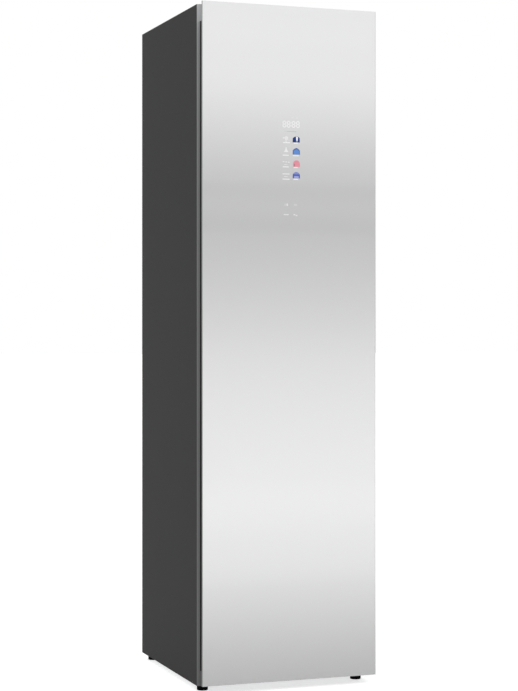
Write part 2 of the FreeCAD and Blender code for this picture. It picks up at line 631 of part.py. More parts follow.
def coils():
    """Evaporator under the filter, condenser below it, both in the air path."""
    x = (HOUSING_X[0] + HOUSING_WALL, HOUSING_X[1] - HOUSING_WALL)
    y = (HOUSING_Y[0] + HOUSING_WALL, HOUSING_Y[1] - HOUSING_WALL)
    top = CHAMBER_UNDER - FILTER_DEPTH - COIL_GAP
    for name in ("evaporator", "condenser"):
        z = (top - COIL_H, top)
        pack = block(x, y, z)
        gaps = [block((gx, gx + COIL_GAP), y, (z[0] + COIL_GAP, z[1]))
                for gx in spread(x[0] + COIL_GAP, x[1] - 2 * COIL_GAP, COIL_SLOTS)]
        tubes = [rod(PIPE_R, (x[0], ty, (z[0] + z[1]) / 2), RIGHTWARD, x[1] - x[0])
                 for ty in spread(y[0] + 4 * PIPE_R, y[1] - 4 * PIPE_R, COIL_TUBES)]
        export(name, fuse([cut(pack, gaps)] + tubes))
        top = z[0] - COIL_GAP


def fan_group():
    z0, z1 = housing_span()
    axis_z = z0 + FAN_AXIS_LIFT
    fan_y = HOUSING_Y[1] - HOUSING_WALL - MACHINE_GAP - FAN_W
    outer = block(HOUSING_X, HOUSING_Y, (z0, z1))
    inner = block((HOUSING_X[0] + HOUSING_WALL, HOUSING_X[1] - HOUSING_WALL),
                  (HOUSING_Y[0] + HOUSING_WALL, HOUSING_Y[1] - HOUSING_WALL), (z0 + HOUSING_WALL, z1))
    window = block(around(HOUSING_MID, FAN_R), (LINER_BACK - HOUSING_WALL, LINER_BACK),
                   around(axis_z, FAN_R))
    shaft_hole = rod(FAN_SHAFT_R + SHAFT_HOLE_GAP, (HOUSING_MID, HOUSING_Y[0], axis_z),
                     BACKWARD, HOUSING_WALL)
    legs = [rod(MOUNT_R, (x, y, TRAY_TOP), UP, HOUSING_LIFT)
            for x in (HOUSING_X[0] + MOUNT_R, HOUSING_X[1] - MOUNT_R)
            for y in (HOUSING_Y[0] + MOUNT_R, HOUSING_Y[1] - MOUNT_R)]
    export("fan_housing", fuse([outer.cut(inner)] + legs).cut(window).cut(shaft_hole))

    motor_r, motor_l = FAN_MOTOR
    motor = rod(motor_r, (HOUSING_MID, HOUSING_Y[0] - motor_l, axis_z), BACKWARD, motor_l)
    bore_y = HOUSING_Y[0] - motor_l / 2
    bore = rod(FAN_SHAFT_R + SHAFT_FIT, (HOUSING_MID, bore_y, axis_z), BACKWARD, motor_l)
    export("fan_motor", motor.cut(bore))

    back_disc = rod(FAN_R, (HOUSING_MID, fan_y, axis_z), BACKWARD, HOUSING_WALL)
    ring_start = (HOUSING_MID, fan_y + FAN_W - HOUSING_WALL, axis_z)
    front_ring = rod(FAN_R, ring_start, BACKWARD, HOUSING_WALL)
    eye = rod(FAN_R - BLADE_CHORD, ring_start, BACKWARD, HOUSING_WALL)
    hub = rod(3 * FAN_SHAFT_R, (HOUSING_MID, fan_y, axis_z), BACKWARD, FAN_W / 2)
    shaft_y = bore_y + FIT
    shaft = rod(FAN_SHAFT_R, (HOUSING_MID, shaft_y, axis_z), BACKWARD, fan_y - shaft_y + HOUSING_WALL)
    blades = []
    blade_z = (axis_z + FAN_R - BLADE_CHORD, axis_z + FAN_R - BLADE)
    for i in range(BLADE_COUNT):
        blade = block(around(HOUSING_MID, BLADE / 2), (fan_y, fan_y + FAN_W), blade_z)
        blade.rotate(V(HOUSING_MID, 0, sum(blade_z) / 2), BACKWARD, BLADE_PITCH)
        blade.rotate(V(HOUSING_MID, 0, axis_z), BACKWARD, 360.0 * i / BLADE_COUNT)
        blades.append(blade)
    export("fan_impeller", fuse([back_disc, front_ring.cut(eye), hub, shaft] + blades))


def duct_window():
    """Outlet of the rear duct, behind the slots in the back of the chamber."""
    return around(HOUSING_MID, FAN_R + 3 * MACHINE_GAP), around(RAIL_Z - 8 * MACHINE_GAP, 4 * MACHINE_GAP)


def rear_air_duct():
    z0, z1 = housing_span()
    axis_z = z0 + FAN_AXIS_LIFT
    (wx0, wx1), (wz0, wz1) = duct_window()
    x = (wx0 - MACHINE_GAP, wx1 + MACHINE_GAP)
    y = (LINER_BACK, REAR_IN)
    z = (axis_z - FAN_R - MACHINE_GAP, wz1 + MACHINE_GAP)
    duct = shell_box(x, y, z, LINER)
    inlet = block(around(HOUSING_MID, FAN_R), (y[0], y[0] + LINER), around(axis_z, FAN_R))
    outlet = block((wx0, wx1), (y[0], y[0] + LINER), (wz0, wz1))
    export("rear_air_duct", duct.cut(inlet).cut(outlet))


def nozzle_place():
    return (IN_LEFT + INSULATION + LINER + STEAM_BOX[0] / 2 + MACHINE_GAP / 2,
            BAY_BACK + BAY_WALL + MACHINE_GAP + STEAM_BOX[1] / 2)


def drain_place():
    """Drain of the chamber floor, between the drain pump and the control box."""
    return (IN_RIGHT - CONTROL_BOX[0] - 3 * MACHINE_GAP, pump_places()[1][1])


def steam_generator():
    x, y = nozzle_place()
    width, depth, height = STEAM_BOX
    body = round_edges(block(around(x, width / 2), around(y, depth / 2), (TRAY_TOP, TRAY_TOP + height)),
                       MACHINE_GAP, UP)
    neck = rod(NOZZLE_R, (x, y, TRAY_TOP + height), UP, MACHINE_GAP)
    export("steam_generator", fuse([body, neck]))
    z = TRAY_TOP + height + MACHINE_GAP
    riser = rod(NOZZLE_R - 2 * FIT, (x, y, z), UP, CHAMBER_FLOOR_Z - z)
    head = Part.makeCone(2 * NOZZLE_R, NOZZLE_R, MACHINE_GAP, V(x, y, CHAMBER_FLOOR_Z), UP)
    bore = rod(NOZZLE_R / 2, (x, y, z), UP, CHAMBER_FLOOR_Z + MACHINE_GAP - z)
    export("steam_nozzle", fuse([riser, head]).cut(bore))


def pump_places():
    """Middle of the supply pump and of the drain pump."""
    x, y = nozzle_place()
    first = x + STEAM_BOX[0] / 2 + 2 * MACHINE_GAP + PUMP_L / 2
    return (first, y - PUMP_R), (first + PUMP_L + 2 * MACHINE_GAP, y - PUMP_R)


def pumps_and_pipes():
    pumps, axis_z = [], TRAY_TOP + PUMP_R + MACHINE_GAP
    for x, y in pump_places():
        body = rod(PUMP_R, (x - PUMP_L / 2, y, axis_z), RIGHTWARD, PUMP_L)
        foot = block(around(x, PUMP_L / 3), around(y, PUMP_R), (TRAY_TOP, axis_z - PUMP_R / 2))
        pumps.append(fuse([body, foot]))
    export("water_pumps", Part.makeCompound(pumps))

    bay_face = BAY_BACK + BAY_WALL
    (x1, y1), (x2, y2) = pump_places()
    steam_x, steam_y = nozzle_place()
    high = axis_z + PUMP_R + 3 * PIPE_BEND_R
    top = axis_z + PUMP_R
    near, far = x1 - PUMP_L / 4, x1 + PUMP_L / 4
    feed = pipe([(near, y1, top), (near, y1, high), (near, bay_face, high)])
    boiler_x, boiler_y = steam_x + STEAM_BOX[0] / 2, steam_y + PUMP_R
    out = pipe([(far, y1, top), (far, y1, high), (far, boiler_y, high), (boiler_x, boiler_y, high)])
    near, far = x2 - PUMP_L / 4, x2 + PUMP_L / 4
    to_tank = pipe([(near, y2, top), (near, y2, high), (near, bay_face, high)])
    drain_x, drain_y = drain_place()
    drain = pipe([(far, y2, top), (far, y2, high),
                  (drain_x, drain_y, high), (drain_x, drain_y, CHAMBER_UNDER)])
    export("water_pipes", Part.makeCompound([feed, out, to_tank, drain]))


def control_box():
    width, depth, height = CONTROL_BOX
    x = (IN_RIGHT - MACHINE_GAP - width, IN_RIGHT - MACHINE_GAP)
    y = (BAY_BACK + BAY_WALL + MACHINE_GAP, BAY_BACK + BAY_WALL + MACHINE_GAP + depth)
    box = shell_box(x, y, (TRAY_TOP + BOSS_H, TRAY_TOP + BOSS_H + height), HOUSING_WALL)
    legs = [rod(MOUNT_R / 2, (lx, ly, TRAY_TOP), UP, BOSS_H) for lx in (x[0] + MOUNT_R, x[1] - MOUNT_R)
            for ly in (y[0] + MOUNT_R, y[1] - MOUNT_R)]
    board_z = (TRAY_TOP + BOSS_H + 2 * MACHINE_GAP, TRAY_TOP + BOSS_H + height - 2 * MACHINE_GAP)
    board = block((x[0] + 2 * MACHINE_GAP, x[1] - 2 * MACHINE_GAP),
                  (y[0] + HOUSING_WALL, y[0] + 2 * HOUSING_WALL), board_z)
    export("control_box", fuse([box, board] + legs))


def power_inlet():
    x = IN_RIGHT - INLET_INSET
    flange = rod(INLET_R + INLET_LIP, (x, REAR_OUT, INLET_Z), BACKWARD, SHEET)
    body = rod(INLET_R - 3 * FIT, (x, REAR_IN - MACHINE_GAP, INLET_Z), BACKWARD, MACHINE_GAP + 3 * SHEET)
    bore = rod(PIPE_R, (x, REAR_IN - MACHINE_GAP, INLET_Z), BACKWARD, MACHINE_GAP + 3 * SHEET)
    export("power_inlet", fuse([flange, body]).cut(bore))


def lint_filter():
    """Drop-in filter: lipped basket with a slotted bottom and an upright grip tab."""
    low, seat = CHAMBER_UNDER - FILTER_DEPTH, CHAMBER_FLOOR_Z + FIT
    top = seat + FILTER_WALL
    x = (FILTER_X[0] + FIT, FILTER_X[1] - FIT)
    y = (FILTER_Y[0] + FIT, FILTER_Y[1] - FIT)
    lip = block((FILTER_X[0] - FILTER_LIP, FILTER_X[1] + FILTER_LIP),
                (FILTER_Y[0] - FILTER_LIP, FILTER_Y[1] + FILTER_LIP), (seat, top))
    ix = (x[0] + FILTER_WALL, x[1] - FILTER_WALL)
    iy = (y[0] + FILTER_WALL, y[1] - FILTER_WALL)
    slot = 2 * FILTER_WALL
    mesh = [block((ix[0] + slot, ix[1] - slot), (sy, sy + slot), (low, low + FILTER_WALL))
            for sy in spread(iy[0] + slot, iy[1] - 2 * slot, FILTER_SLOTS)]
    basket = cut(fuse([block(x, y, (low, seat)), lip]), [block(ix, iy, (low + FILTER_WALL, top))] + mesh)
    tab = block(around((x[0] + x[1]) / 2, 2 * MACHINE_GAP), (iy[0], iy[0] + slot),
                (low, CHAMBER_FLOOR_Z + 2 * MACHINE_GAP))
    export("lint_filter", fuse([basket, tab]))


# ---- door ---------------------------------------------------------------------------------
def door_glass():
    glass = block((LEFT, RIGHT), (GLASS_FRONT, GLASS_BACK), (GLASS_BOTTOM, HEIGHT))
    front_edges = [e for e in glass.Edges if e.BoundBox.YMax < GLASS_FRONT + FIT]
    export("door_glass", glass.makeFillet(GLASS_EDGE_R, front_edges))


def door_stiles():
    frame_y = (GLASS_BACK, FRAME_BACK)
    profile = block((LEFT, LEFT + STILE_W), frame_y, STILE_Z)
    channel = block((LEFT, LEFT + GRIP_DEPTH), (GLASS_BACK, GLASS_BACK + GRIP_GAP), STILE_Z)
    hollow = block((LEFT + STILE_WALL, LEFT + STILE_W - STILE_WALL),
                   (GLASS_BACK + GRIP_GAP + STILE_WALL, FRAME_BACK - STILE_WALL), STILE_Z)
    web = block((LEFT + GRIP_DEPTH + STILE_WALL, LEFT + STILE_W - STILE_WALL),
                (GLASS_BACK + STILE_WALL, GLASS_BACK + GRIP_GAP + STILE_WALL), STILE_Z)
    export("door_grip_profile", cut(profile, [channel, hollow, web]))

    stile = block((RIGHT - STILE_W, RIGHT), frame_y, STILE_Z)
    inner = block((RIGHT - STILE_W + STILE_WALL, RIGHT - STILE_WALL),
                  (frame_y[0] + STILE_WALL, frame_y[1] - STILE_WALL), STILE_Z)
    export("door_hinge_stile", stile.cut(inner))


def bush_bore(z, along):
    return rod(HINGE_PIN_R + BUSH_WALL, (HINGE_X, HINGE_Y, z), along, HINGE_PIN_LENGTH)


def door_cap(inner_z, outer_z, hinge_z, along):
    """End cap with a sloping outer face, level where the hinge pin goes in."""
    y0, y1 = GLASS_BACK, FRAME_BACK
    out = CAP_SLOPE if outer_z > inner_z else -CAP_SLOPE
    outline = [(y0, inner_z), (y1, inner_z), (y1, outer_z + out), (y0, outer_z - out)]
    hinge_end = RIGHT - CAP_HINGE_END
    sloped = extruded_along_x(outline, (LEFT, hinge_end))
    level = block((hinge_end, RIGHT), (y0, y1), (min(inner_z, hinge_z), max(inner_z, hinge_z)))
    return fuse([sloped, level]).cut(bush_bore(hinge_z, along))


def door_caps():
    export("door_top_cap", door_cap(STILE_Z[1], FRAME_TOP, FRAME_TOP, DOWN))
    export("door_bottom_cap", door_cap(STILE_Z[0], DOOR_FRAME_BOTTOM, DOOR_FRAME_BOTTOM + LOWER_STEP, UP))


def door_filling():
    x = (LEFT + STILE_W, RIGHT - STILE_W)
    panel = block(x, (FRAME_BACK - INNER_PANEL, FRAME_BACK), STILE_Z)
    export("door_inner_panel", panel)
    core = block(x, (GLASS_BACK, FRAME_BACK - INNER_PANEL), STILE_Z)
    display = block(around(DISPLAY_X, DISPLAY_W / 2), (GLASS_BACK, GLASS_BACK + DISPLAY_T), DISPLAY_Z)
    export("door_core", core.cut(display))
    board = block(around(DISPLAY_X, DISPLAY_W / 2), (GLASS_BACK, GLASS_BACK + DISPLAY_T), DISPLAY_Z)
    export("display_board", round_edges(board, DISPLAY_CORNER_R, BACKWARD))


def door_gasket():
    z = (STILE_Z[0] - DOOR_BOTTOM_CAP_H / 2, STILE_Z[1] + DOOR_TOP_CAP_H / 2)
    x = (LEFT + GASKET_INSET, RIGHT - GASKET_INSET)
    y = (FRAME_BACK, FRONT - FIT)
    inner = block((x[0] + GASKET_W, x[1] - GASKET_W), y, (z[0] + GASKET_W, z[1] - GASKET_W))
    export("door_gasket", block(x, y, z).cut(inner))


def hinge_arm(z, step):
    """Plate from the hinge pin back over the cabinet; its front may stand a step higher."""
    x = around(HINGE_X, HINGE_PLATE_R)
    front_z = (z[0] + step, z[1] + step)
    fold = (FRONT - FIT - LOWER_PLATE, FRONT - FIT)
    tail = block(x, (fold[0], HINGE_Y + HINGE_ARM_LENGTH), z)
    riser = block(x, fold, (z[0], front_z[1]))
    front = block(x, (HINGE_Y, fold[1]), front_z)
    nose = rod(HINGE_PLATE_R, (HINGE_X, HINGE_Y, front_z[0]), UP, z[1] - z[0])
    return [tail, riser, front, nose], front_z


def hinges():
    upper_z, lower_z = (TOP, TOP + UPPER_PLATE), (BOTTOM - LOWER_PLATE, BOTTOM)
    brackets, bushes = [], []
    for z, step, along, frame_z in ((upper_z, 0, DOWN, FRAME_TOP),
                                    (lower_z, LOWER_STEP, UP, DOOR_FRAME_BOTTOM + LOWER_STEP)):
        arm, (z0, z1) = hinge_arm(z, step)
        seat = z0 if along == DOWN else z1
        gap = abs(seat - frame_z)
        pin = rod(HINGE_PIN_R, (HINGE_X, HINGE_Y, seat), along, gap + HINGE_PIN_LENGTH - 2 * FIT)
        outside = z[1] if along == DOWN else z[0]
        screws = hinge_screws(outside)
        holes = [screw_hole(s) for s in screws] + [sunk_seat(s) for s in screws]
        brackets.append(cut(fuse(arm + [pin]), holes))
        sleeve = rod(HINGE_PIN_R + BUSH_WALL, (HINGE_X, HINGE_Y, frame_z), along, HINGE_PIN_LENGTH)
        flange = rod(BUSH_FLANGE_R, (HINGE_X, HINGE_Y, frame_z), along * -1, gap - FIT)
        bore = rod(HINGE_PIN_R + SHAFT_FIT, (HINGE_X, HINGE_Y, seat), along, HINGE_PIN_LENGTH + gap)
        bushes.append(fuse([sleeve, flange]).cut(bore))
    export("hinge_brackets", Part.makeCompound(brackets))
    export("hinge_bushes", Part.makeCompound(bushes))


def casing_screws():
    proud = [screw_solid(s) for s in rear_screws() + cover_screws()]
    sunk = [sunk_screw(s) for s in hinge_screws(TOP + UPPER_PLATE) + hinge_screws(BOTTOM - LOWER_PLATE)]
    export("casing_screws", Part.makeCompound(proud + sunk))


def main():
    os.makedirs("parts", exist_ok=True)
    side_panels()
    top_panel()
    rear_panel_and_cover()
    base_tray()
    feet()
    front_rim()
    chamber_lining()
    wall_insulation()
    chamber_lamp()
    shelf_and_ledges()
    hanger_rail()
    rail_carriage_and_guides()
    shaker()
    hangers()
    tank_bay()
    tanks()
    compressor()
    coils()
    fan_group()
    rear_air_duct()
    steam_generator()
    pumps_and_pipes()
    control_box()
    power_inlet()
    lint_filter()
    door_glass()
    door_stiles()
    door_caps()
    door_filling()
    door_gasket()
    hinges()
    casing_screws()


main()
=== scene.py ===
"""Looks of the clothes care steam cabinet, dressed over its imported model.

Metres, +Z up, the glass front faces -Y. Pieces are drawn in millimetres of the same frame and
scaled once, when their mesh is made. Each finish function returns one material.
"""
import cmath
import json
import math

import bmesh
import bpy
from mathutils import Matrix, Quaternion, Vector


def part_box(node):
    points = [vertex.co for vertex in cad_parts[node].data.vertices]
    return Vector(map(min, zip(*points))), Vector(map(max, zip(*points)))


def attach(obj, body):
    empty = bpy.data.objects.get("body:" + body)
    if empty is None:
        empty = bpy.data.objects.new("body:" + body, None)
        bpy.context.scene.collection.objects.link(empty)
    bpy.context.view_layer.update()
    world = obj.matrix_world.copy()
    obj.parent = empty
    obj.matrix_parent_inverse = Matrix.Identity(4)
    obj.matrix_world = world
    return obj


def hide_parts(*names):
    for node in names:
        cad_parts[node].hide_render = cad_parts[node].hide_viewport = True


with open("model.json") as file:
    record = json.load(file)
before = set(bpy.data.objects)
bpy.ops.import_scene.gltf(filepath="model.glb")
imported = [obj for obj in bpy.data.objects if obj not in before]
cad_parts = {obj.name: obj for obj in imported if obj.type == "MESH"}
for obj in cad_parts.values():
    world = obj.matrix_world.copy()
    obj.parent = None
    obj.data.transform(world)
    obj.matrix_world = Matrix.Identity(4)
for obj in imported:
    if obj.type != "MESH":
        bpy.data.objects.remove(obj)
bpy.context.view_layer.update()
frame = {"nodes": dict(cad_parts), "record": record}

MM = 0.001
GLASS_FACE = -287.0         # front of the door glass
CAP_FRONT = -283.0          # back of the glass, where the door caps begin
PROFILE_GROOVE = -271.0     # front of the grip profile, behind the finger groove
PROFILE_BACK = -244.0
GLASS_FOOT, GLASS_TOP = 24.0, 1850.0
FILM = 0.04                 # thickness of the printed and lit marks
UNDER = 0.015               # how far a base mark lies behind its details


# ---- colours
def linear(level):
    """One display level, 0 to 255, as a linear number."""
    share = level / 255
    if share <= 0.04045:
        return share / 12.92
    return ((share + 0.055) / 1.055) ** 2.4


def colour(red, green=None, blue=None):
    """A display colour, or a grey when only one level is given, as linear RGBA."""
    if green is None:
        green = blue = red
    return (linear(red), linear(green), linear(blue), 1.0)


def even(level):
    """A grey of the given linear level."""
    return (level, level, level, 1.0)


def shade(tone, share):
    return tuple(channel * share for channel in tone[:3]) + (1.0,)


# ---- shader maths
class Value:
    """A socket that takes part in Python arithmetic; each operator adds one Math node."""

    def __init__(self, graph, socket):
        self.graph = graph
        self.socket = socket

    def maths(self, operation, *others):
        return self.graph.node("Math", {"operation": operation}, (self, *others))

    def __add__(self, other):
        return self.maths("ADD", other)

    def __sub__(self, other):
        return self.maths("SUBTRACT", other)

    def __rsub__(self, other):
        return self.graph.node("Math", {"operation": "SUBTRACT"}, (other, self))

    def __mul__(self, other):
        return self.maths("MULTIPLY", other)

    def __truediv__(self, other):
        return self.maths("DIVIDE", other)

    __radd__ = __add__
    __rmul__ = __mul__

    def most(self, other):
        return self.maths("MAXIMUM", other)


class Graph:
    """The nodes behind one shader, of a material or of the world."""

    def __init__(self, owner, shader, fixed):
        owner.use_nodes = True
        self.owner = owner
        self.tree = owner.node_tree
        self.shader = self.tree.nodes[shader]
        self.feed(fixed)

    def put(self, socket, value):
        if isinstance(value, Value):
            self.tree.links.new(value.socket, socket)
        else:
            socket.default_value = value

    def node(self, kind, settings, inputs, output=0):
        """Adds a shader node: its settings first, then its inputs, then the wanted output."""
        made = self.tree.nodes.new("ShaderNode" + kind)
        for name, setting in settings.items():
            if name == "stops":
                ramp = made.color_ramp
                while len(ramp.elements) < len(setting):
                    ramp.elements.new(1.0)
                for element, (position, tone) in zip(ramp.elements, setting):
                    element.position, element.color = position, tone
            elif name == "ramp":
                made.color_ramp.interpolation = setting
            else:
                setattr(made, name, setting)
        pairs = inputs.items() if isinstance(inputs, dict) else enumerate(inputs)
        for key, value in pairs:
            self.put(made.inputs[key], value)
        return Value(self, made.outputs[output])

    def feed(self, values):
        """Sets or links the shader's sockets; gives back the material or world."""
        for name, value in values.items():
            self.put(self.shader.inputs[name], value)
        return self.owner

    def ray(self, kind):
        """1 for a Camera, Glossy or Transmission ray, otherwise 0."""
        return self.node("LightPath", {}, {}, f"Is {kind} Ray")

    def mix(self, factor, first, second):
        """Colour mix from first to second."""
        return self.node("Mix", {"data_type": "RGBA"}, {0: factor, 6: first, 7: second}, 2)


class Finish(Graph):
    """A material whose look is worked out from the place on the object."""

    def __init__(self, name, fixed):
        super().__init__(bpy.data.materials.new(name), "Principled BSDF", fixed)
        self.place = self.node("TexCoord", {}, {}, "Object")

    def stretched(self, x, y, z):
        return self.node("VectorMath", {"operation": "MULTIPLY"}, (self.place, (x, y, z)))

    def axis(self, letter):
        return self.node("SeparateXYZ", {}, (self.place,), letter)

    def noise(self, scale, detail, where=None, output=0):
        return self.node("TexNoise", {}, {"Vector": where or self.place, "Scale": scale, "Detail": detail}, output)

    def cells(self, scale, output="Distance", where=None):
        return self.node("TexVoronoi", {}, {"Vector": where or self.place, "Scale": scale}, output)

    def flakes(self, scale, where=None):
        """A level that is the same all over one cell and unlike its neighbours'."""
        return self.node("SeparateColor", {}, (self.cells(scale, "Color", where),))

    def times(self, first, second):
        """One colour multiplied by another."""
        return self.node("Mix", {"data_type": "RGBA", "blend_type": "MULTIPLY"}, {0: 1.0, 6: first, 7: second}, 2)

    def ramp(self, factor, stops, interpolation="LINEAR"):
        return self.node("ValToRGB", {"ramp": interpolation, "stops": stops}, (factor,))

    def relief(self, height, depth, strength):
        """Bump of the given depth in metres, into Normal."""
        return self.feed({"Normal": self.node("Bump", {}, {"Height": height, "Distance": depth, "Strength": strength})})

    def mottled(self, tone, spread, scale):
        """Base colour that drifts by the given share either way."""
        drift = self.noise(scale, 3)
        self.feed({"Base Color": self.mix(drift, shade(tone, 1 - spread), shade(tone, 1 + spread))})

    def grained(self, scale, detail, rough, spread, depth, strength, where=None):
        """One fine grain that shows in the roughness and as a bump."""
        grain = self.noise(scale, detail, where)
        self.feed({"Roughness": rough + spread * grain})
        return self.relief(grain, depth, strength)


# ---- finishes
SPECULAR = "Specular IOR Level"


def powder_coat(name, tone):
    made = Finish(name, {SPECULAR: 0.05})
    made.mottled(tone, 0.03, 9)
    peel = made.noise(420, 2)
    made.feed({"Roughness": 0.52 + 0.1 * peel})
    return made.relief(peel + 0.5 * made.noise(1600, 1), 0.00012, 0.5)


def moulded(name, tone, rough=0.5, grain=900, depth=0.00006, spread=0.03, specular=0.4):
    """Moulded plastic with a fine eroded grain."""
    made = Finish(name, {SPECULAR: specular})
    made.mottled(tone, spread, 14)
    return made.grained(grain, 3, rough - 0.08, 0.16, depth, 0.6)


def galvanised(name, tone):
    """Zinc-coated sheet: flat crystals a few millimetres across, each a little lighter or darker."""
    made = Finish(name, {"Metallic": 0.55, SPECULAR: 0.4})
    bent = (made.noise(70, 2, output="Color"), (0.02,) * 3, made.place)
    crystal = made.flakes(110.0, made.node("VectorMath", {"operation": "MULTIPLY_ADD"}, bent))
    made.feed({"Base Color": made.mix(crystal, shade(tone, 0.84), shade(tone, 1.1)),
               "Roughness": 0.36 + 0.18 * crystal})
    return made.relief(crystal + made.noise(700, 2), 0.00003, 0.4)


def brushed(name, tone, along, rough):
    """Brushed or drawn metal with its grain along one axis."""
    made = Finish(name, {"Metallic": 0.9})
    fine = [2600.0] * 3
    fine["xyz".index(along)] = 18.0
    grain = made.noise(1.0, 3, made.stretched(*fine))
    made.feed({"Base Color": made.mix(grain, shade(tone, 0.9), shade(tone, 1.08)),
               "Roughness": rough - 0.06 + 0.14 * grain})
    return made.relief(grain, 0.00002, 0.35)


def cast_metal(name, tone):
    """Sand-cast aluminium."""
    made = Finish(name, {"Metallic": 0.7})
    made.mottled(tone, 0.06, 30)
    return made.grained(1100, 3, 0.45, 0.2, 0.00012, 0.6)


def enamel(name, tone):
    """Thick black stoving enamel."""
    made = Finish(name, {"Coat Weight": 0.5, "Coat Roughness": 0.08, SPECULAR: 0.4})
    made.mottled(tone, 0.1, 12)
    return made.grained(260, 2, 0.32, 0.12, 0.00015, 0.5)


def foam(name, tone):
    made = Finish(name, {SPECULAR: 0.15, "Roughness": 0.9})
    cell = made.cells(520)
    # painted shade: each cell darker towards its middle, where the bump is lowest
    made.feed({"Base Color": made.mix(cell, shade(tone, 0.82), shade(tone, 1.06))})
    return made.relief(cell + made.noise(45, 3), 0.0006, 0.7)


def frosted(name, tone, glow):
    """Lamp lens of opal plastic with fine ribs across it."""
    made = Finish(name, {"Emission Strength": glow, "Emission Color": tone, "Transmission Weight": 0.15,
                         "Roughness": 0.35})
    made.mottled(tone, 0.02, 20)
    return made.relief((made.axis("X") * 1600).maths("SINE"), 0.00015, 0.5)


def translucent(name, tone, through=0.35):
    """Milky blow-moulded plastic."""
    made = Finish(name, {"Transmission Weight": through, "IOR": 1.45, SPECULAR: 0.4})
    made.mottled(tone, 0.04, 16)
    return made.grained(350, 3, 0.32, 0.12, 0.00008, 0.4)


def finned(name, tone):
    """Pressed aluminium fins, 1.6 mm apart across the coil, with painted shade darkening the gaps between them."""
    made = Finish(name, {"Metallic": 0.75})
    ridge = (made.axis("X") * 1000).maths("PINGPONG", 0.8)
    # painted shade: darker where the ridge bump is low, between the fins
    made.feed({"Base Color": made.mix(ridge, shade(tone, 0.35), tone), "Roughness": 0.34 + 0.1 * made.noise(300, 2)})
    return made.relief(ridge, 0.0008, 0.8)


def rubber(name, tone):
    made = Finish(name, {SPECULAR: 0.25})
    made.mottled(tone, 0.08, 40)
    return made.grained(600, 4, 0.62, 0.18, 0.00008, 0.5)


# Painted reflection on the silver backing of the door glass, from its foot to its top: share of height, level.
GLASS_PAINTED_REFLECTION = ((0.0, 0.475), (0.14, 0.735), (0.22, 0.85), (0.30, 0.866), (0.50, 0.726),
               (0.66, 0.549), (0.70, 0.552), (0.74, 0.576), (0.86, 0.79), (0.94, 0.845), (1.0, 0.85))


def height_share(finish):
    """0 at the foot of the door, 1 at its top."""
    return (finish.axis("Z") - GLASS_FOOT * MM) / ((GLASS_TOP - GLASS_FOOT) * MM)


def silver_glass(name):
    """Clear glass over a silver backing whose base colour carries a painted reflection that falls and rises in two soft
    bands.
    """
    made = Finish(name, {"Metallic": 0.2, SPECULAR: 0.35, "Coat Weight": 1.0, "Coat Roughness": 0.02, "Coat IOR": 1.5})
    # painted reflection: the backing's grey follows the height of the door
    tone = made.ramp(height_share(made), [(at, even(level)) for at, level in GLASS_PAINTED_REFLECTION], "CARDINAL")
    flake = made.flakes(2600)
    sparkle = made.mix(flake, (0.985, 0.985, 0.99, 1), even(1.0))
    return made.feed({"Base Color": made.times(tone, sparkle), "Roughness": 0.3 + 0.06 * flake})


# Painted shade and light on the door's side, caps, glass edge and groove lining: how their greys fall with the door's
# height and brighten near its top. Share of height from the foot, share of tone.
SIDE_PAINTED_SHADE = ((0.0, 0.37), (0.18, 0.34), (0.36, 0.335), (0.57, 0.42), (0.73, 0.50), (0.84, 0.61),
             (0.925, 0.74), (0.951, 0.79), (0.963, 0.88), (0.971, 1.04))
CAP_PAINTED_SHADE = ((0.0, 0.3), (0.03, 0.3), (0.97, 0.93), (1.0, 1.2))
EDGE_PAINTED_SHADE = ((0.0, 0.55), (0.15, 0.36), (0.35, 0.48), (0.56, 0.72), (0.73, 0.92), (0.92, 1.0), (1.0, 1.12))
LINING_PAINTED_SHADE = ((0.0, 0.35), (0.5, 0.42), (0.9, 0.85), (1.0, 1.0))
# Painted shade as they darken towards the glass, with a painted highlight on the lip at the back: share of depth from
# the back, share of tone.
GROOVE_PAINTED_SHADE = ((0.0, 1.3), (0.04, 1.0), (0.25, 0.97), (0.5, 0.76), (0.86, 0.57), (0.93, 0.5), (0.95, 0.3))
TOP_CAP_PAINTED_SHADE = ((0.0, 1.04), (0.5, 0.95), (1.0, 0.82))
FOOT_CAP_PAINTED_SHADE = ((0.0, 1.05), (0.2, 0.95), (0.45, 0.78), (0.72, 0.52), (1.0, 0.56))


def painted_shade_tone(finish, tone, fall, depth_painted_shade=None, front=PROFILE_GROOVE):
    """Base colour with painted shade: lighter towards the top of the door and darker towards its front."""
    made = finish.ramp(height_share(finish), [(at, shade(tone, share)) for at, share in fall])
    if depth_painted_shade:
        depth = (PROFILE_BACK * MM - finish.axis("Y")) / ((PROFILE_BACK - front) * MM)
        made = finish.times(made, finish.ramp(depth, [(at, even(share)) for at, share in depth_painted_shade]))
    grain = finish.mix(finish.noise(30, 3), even(0.97), even(1.03))
    finish.feed({"Base Color": finish.times(made, grain)})


def glass_edge(name):
    """Ground edge of the glass, faintly green, with painted shade and light down its height."""
    made = Finish(name, {SPECULAR: 0.2})
    painted_shade_tone(made, colour(160, 165, 162), EDGE_PAINTED_SHADE)
    return made.feed({"Roughness": 0.3 + 0.1 * made.noise(500, 2)})


def anodised(name, tone, depth_painted_shade=None):
    """Satin anodised aluminium, drawn along Z, with painted shade down its height and, where given, painted shade
    towards the glass.
    """
    made = Finish(name, {"Metallic": 0.2, SPECULAR: 0.05})
    painted_shade_tone(made, tone, SIDE_PAINTED_SHADE, depth_painted_shade)
    return made.grained(1.0, 3, 0.38, 0.14, 0.00002, 0.35, made.stretched(2400.0, 2400.0, 14.0))


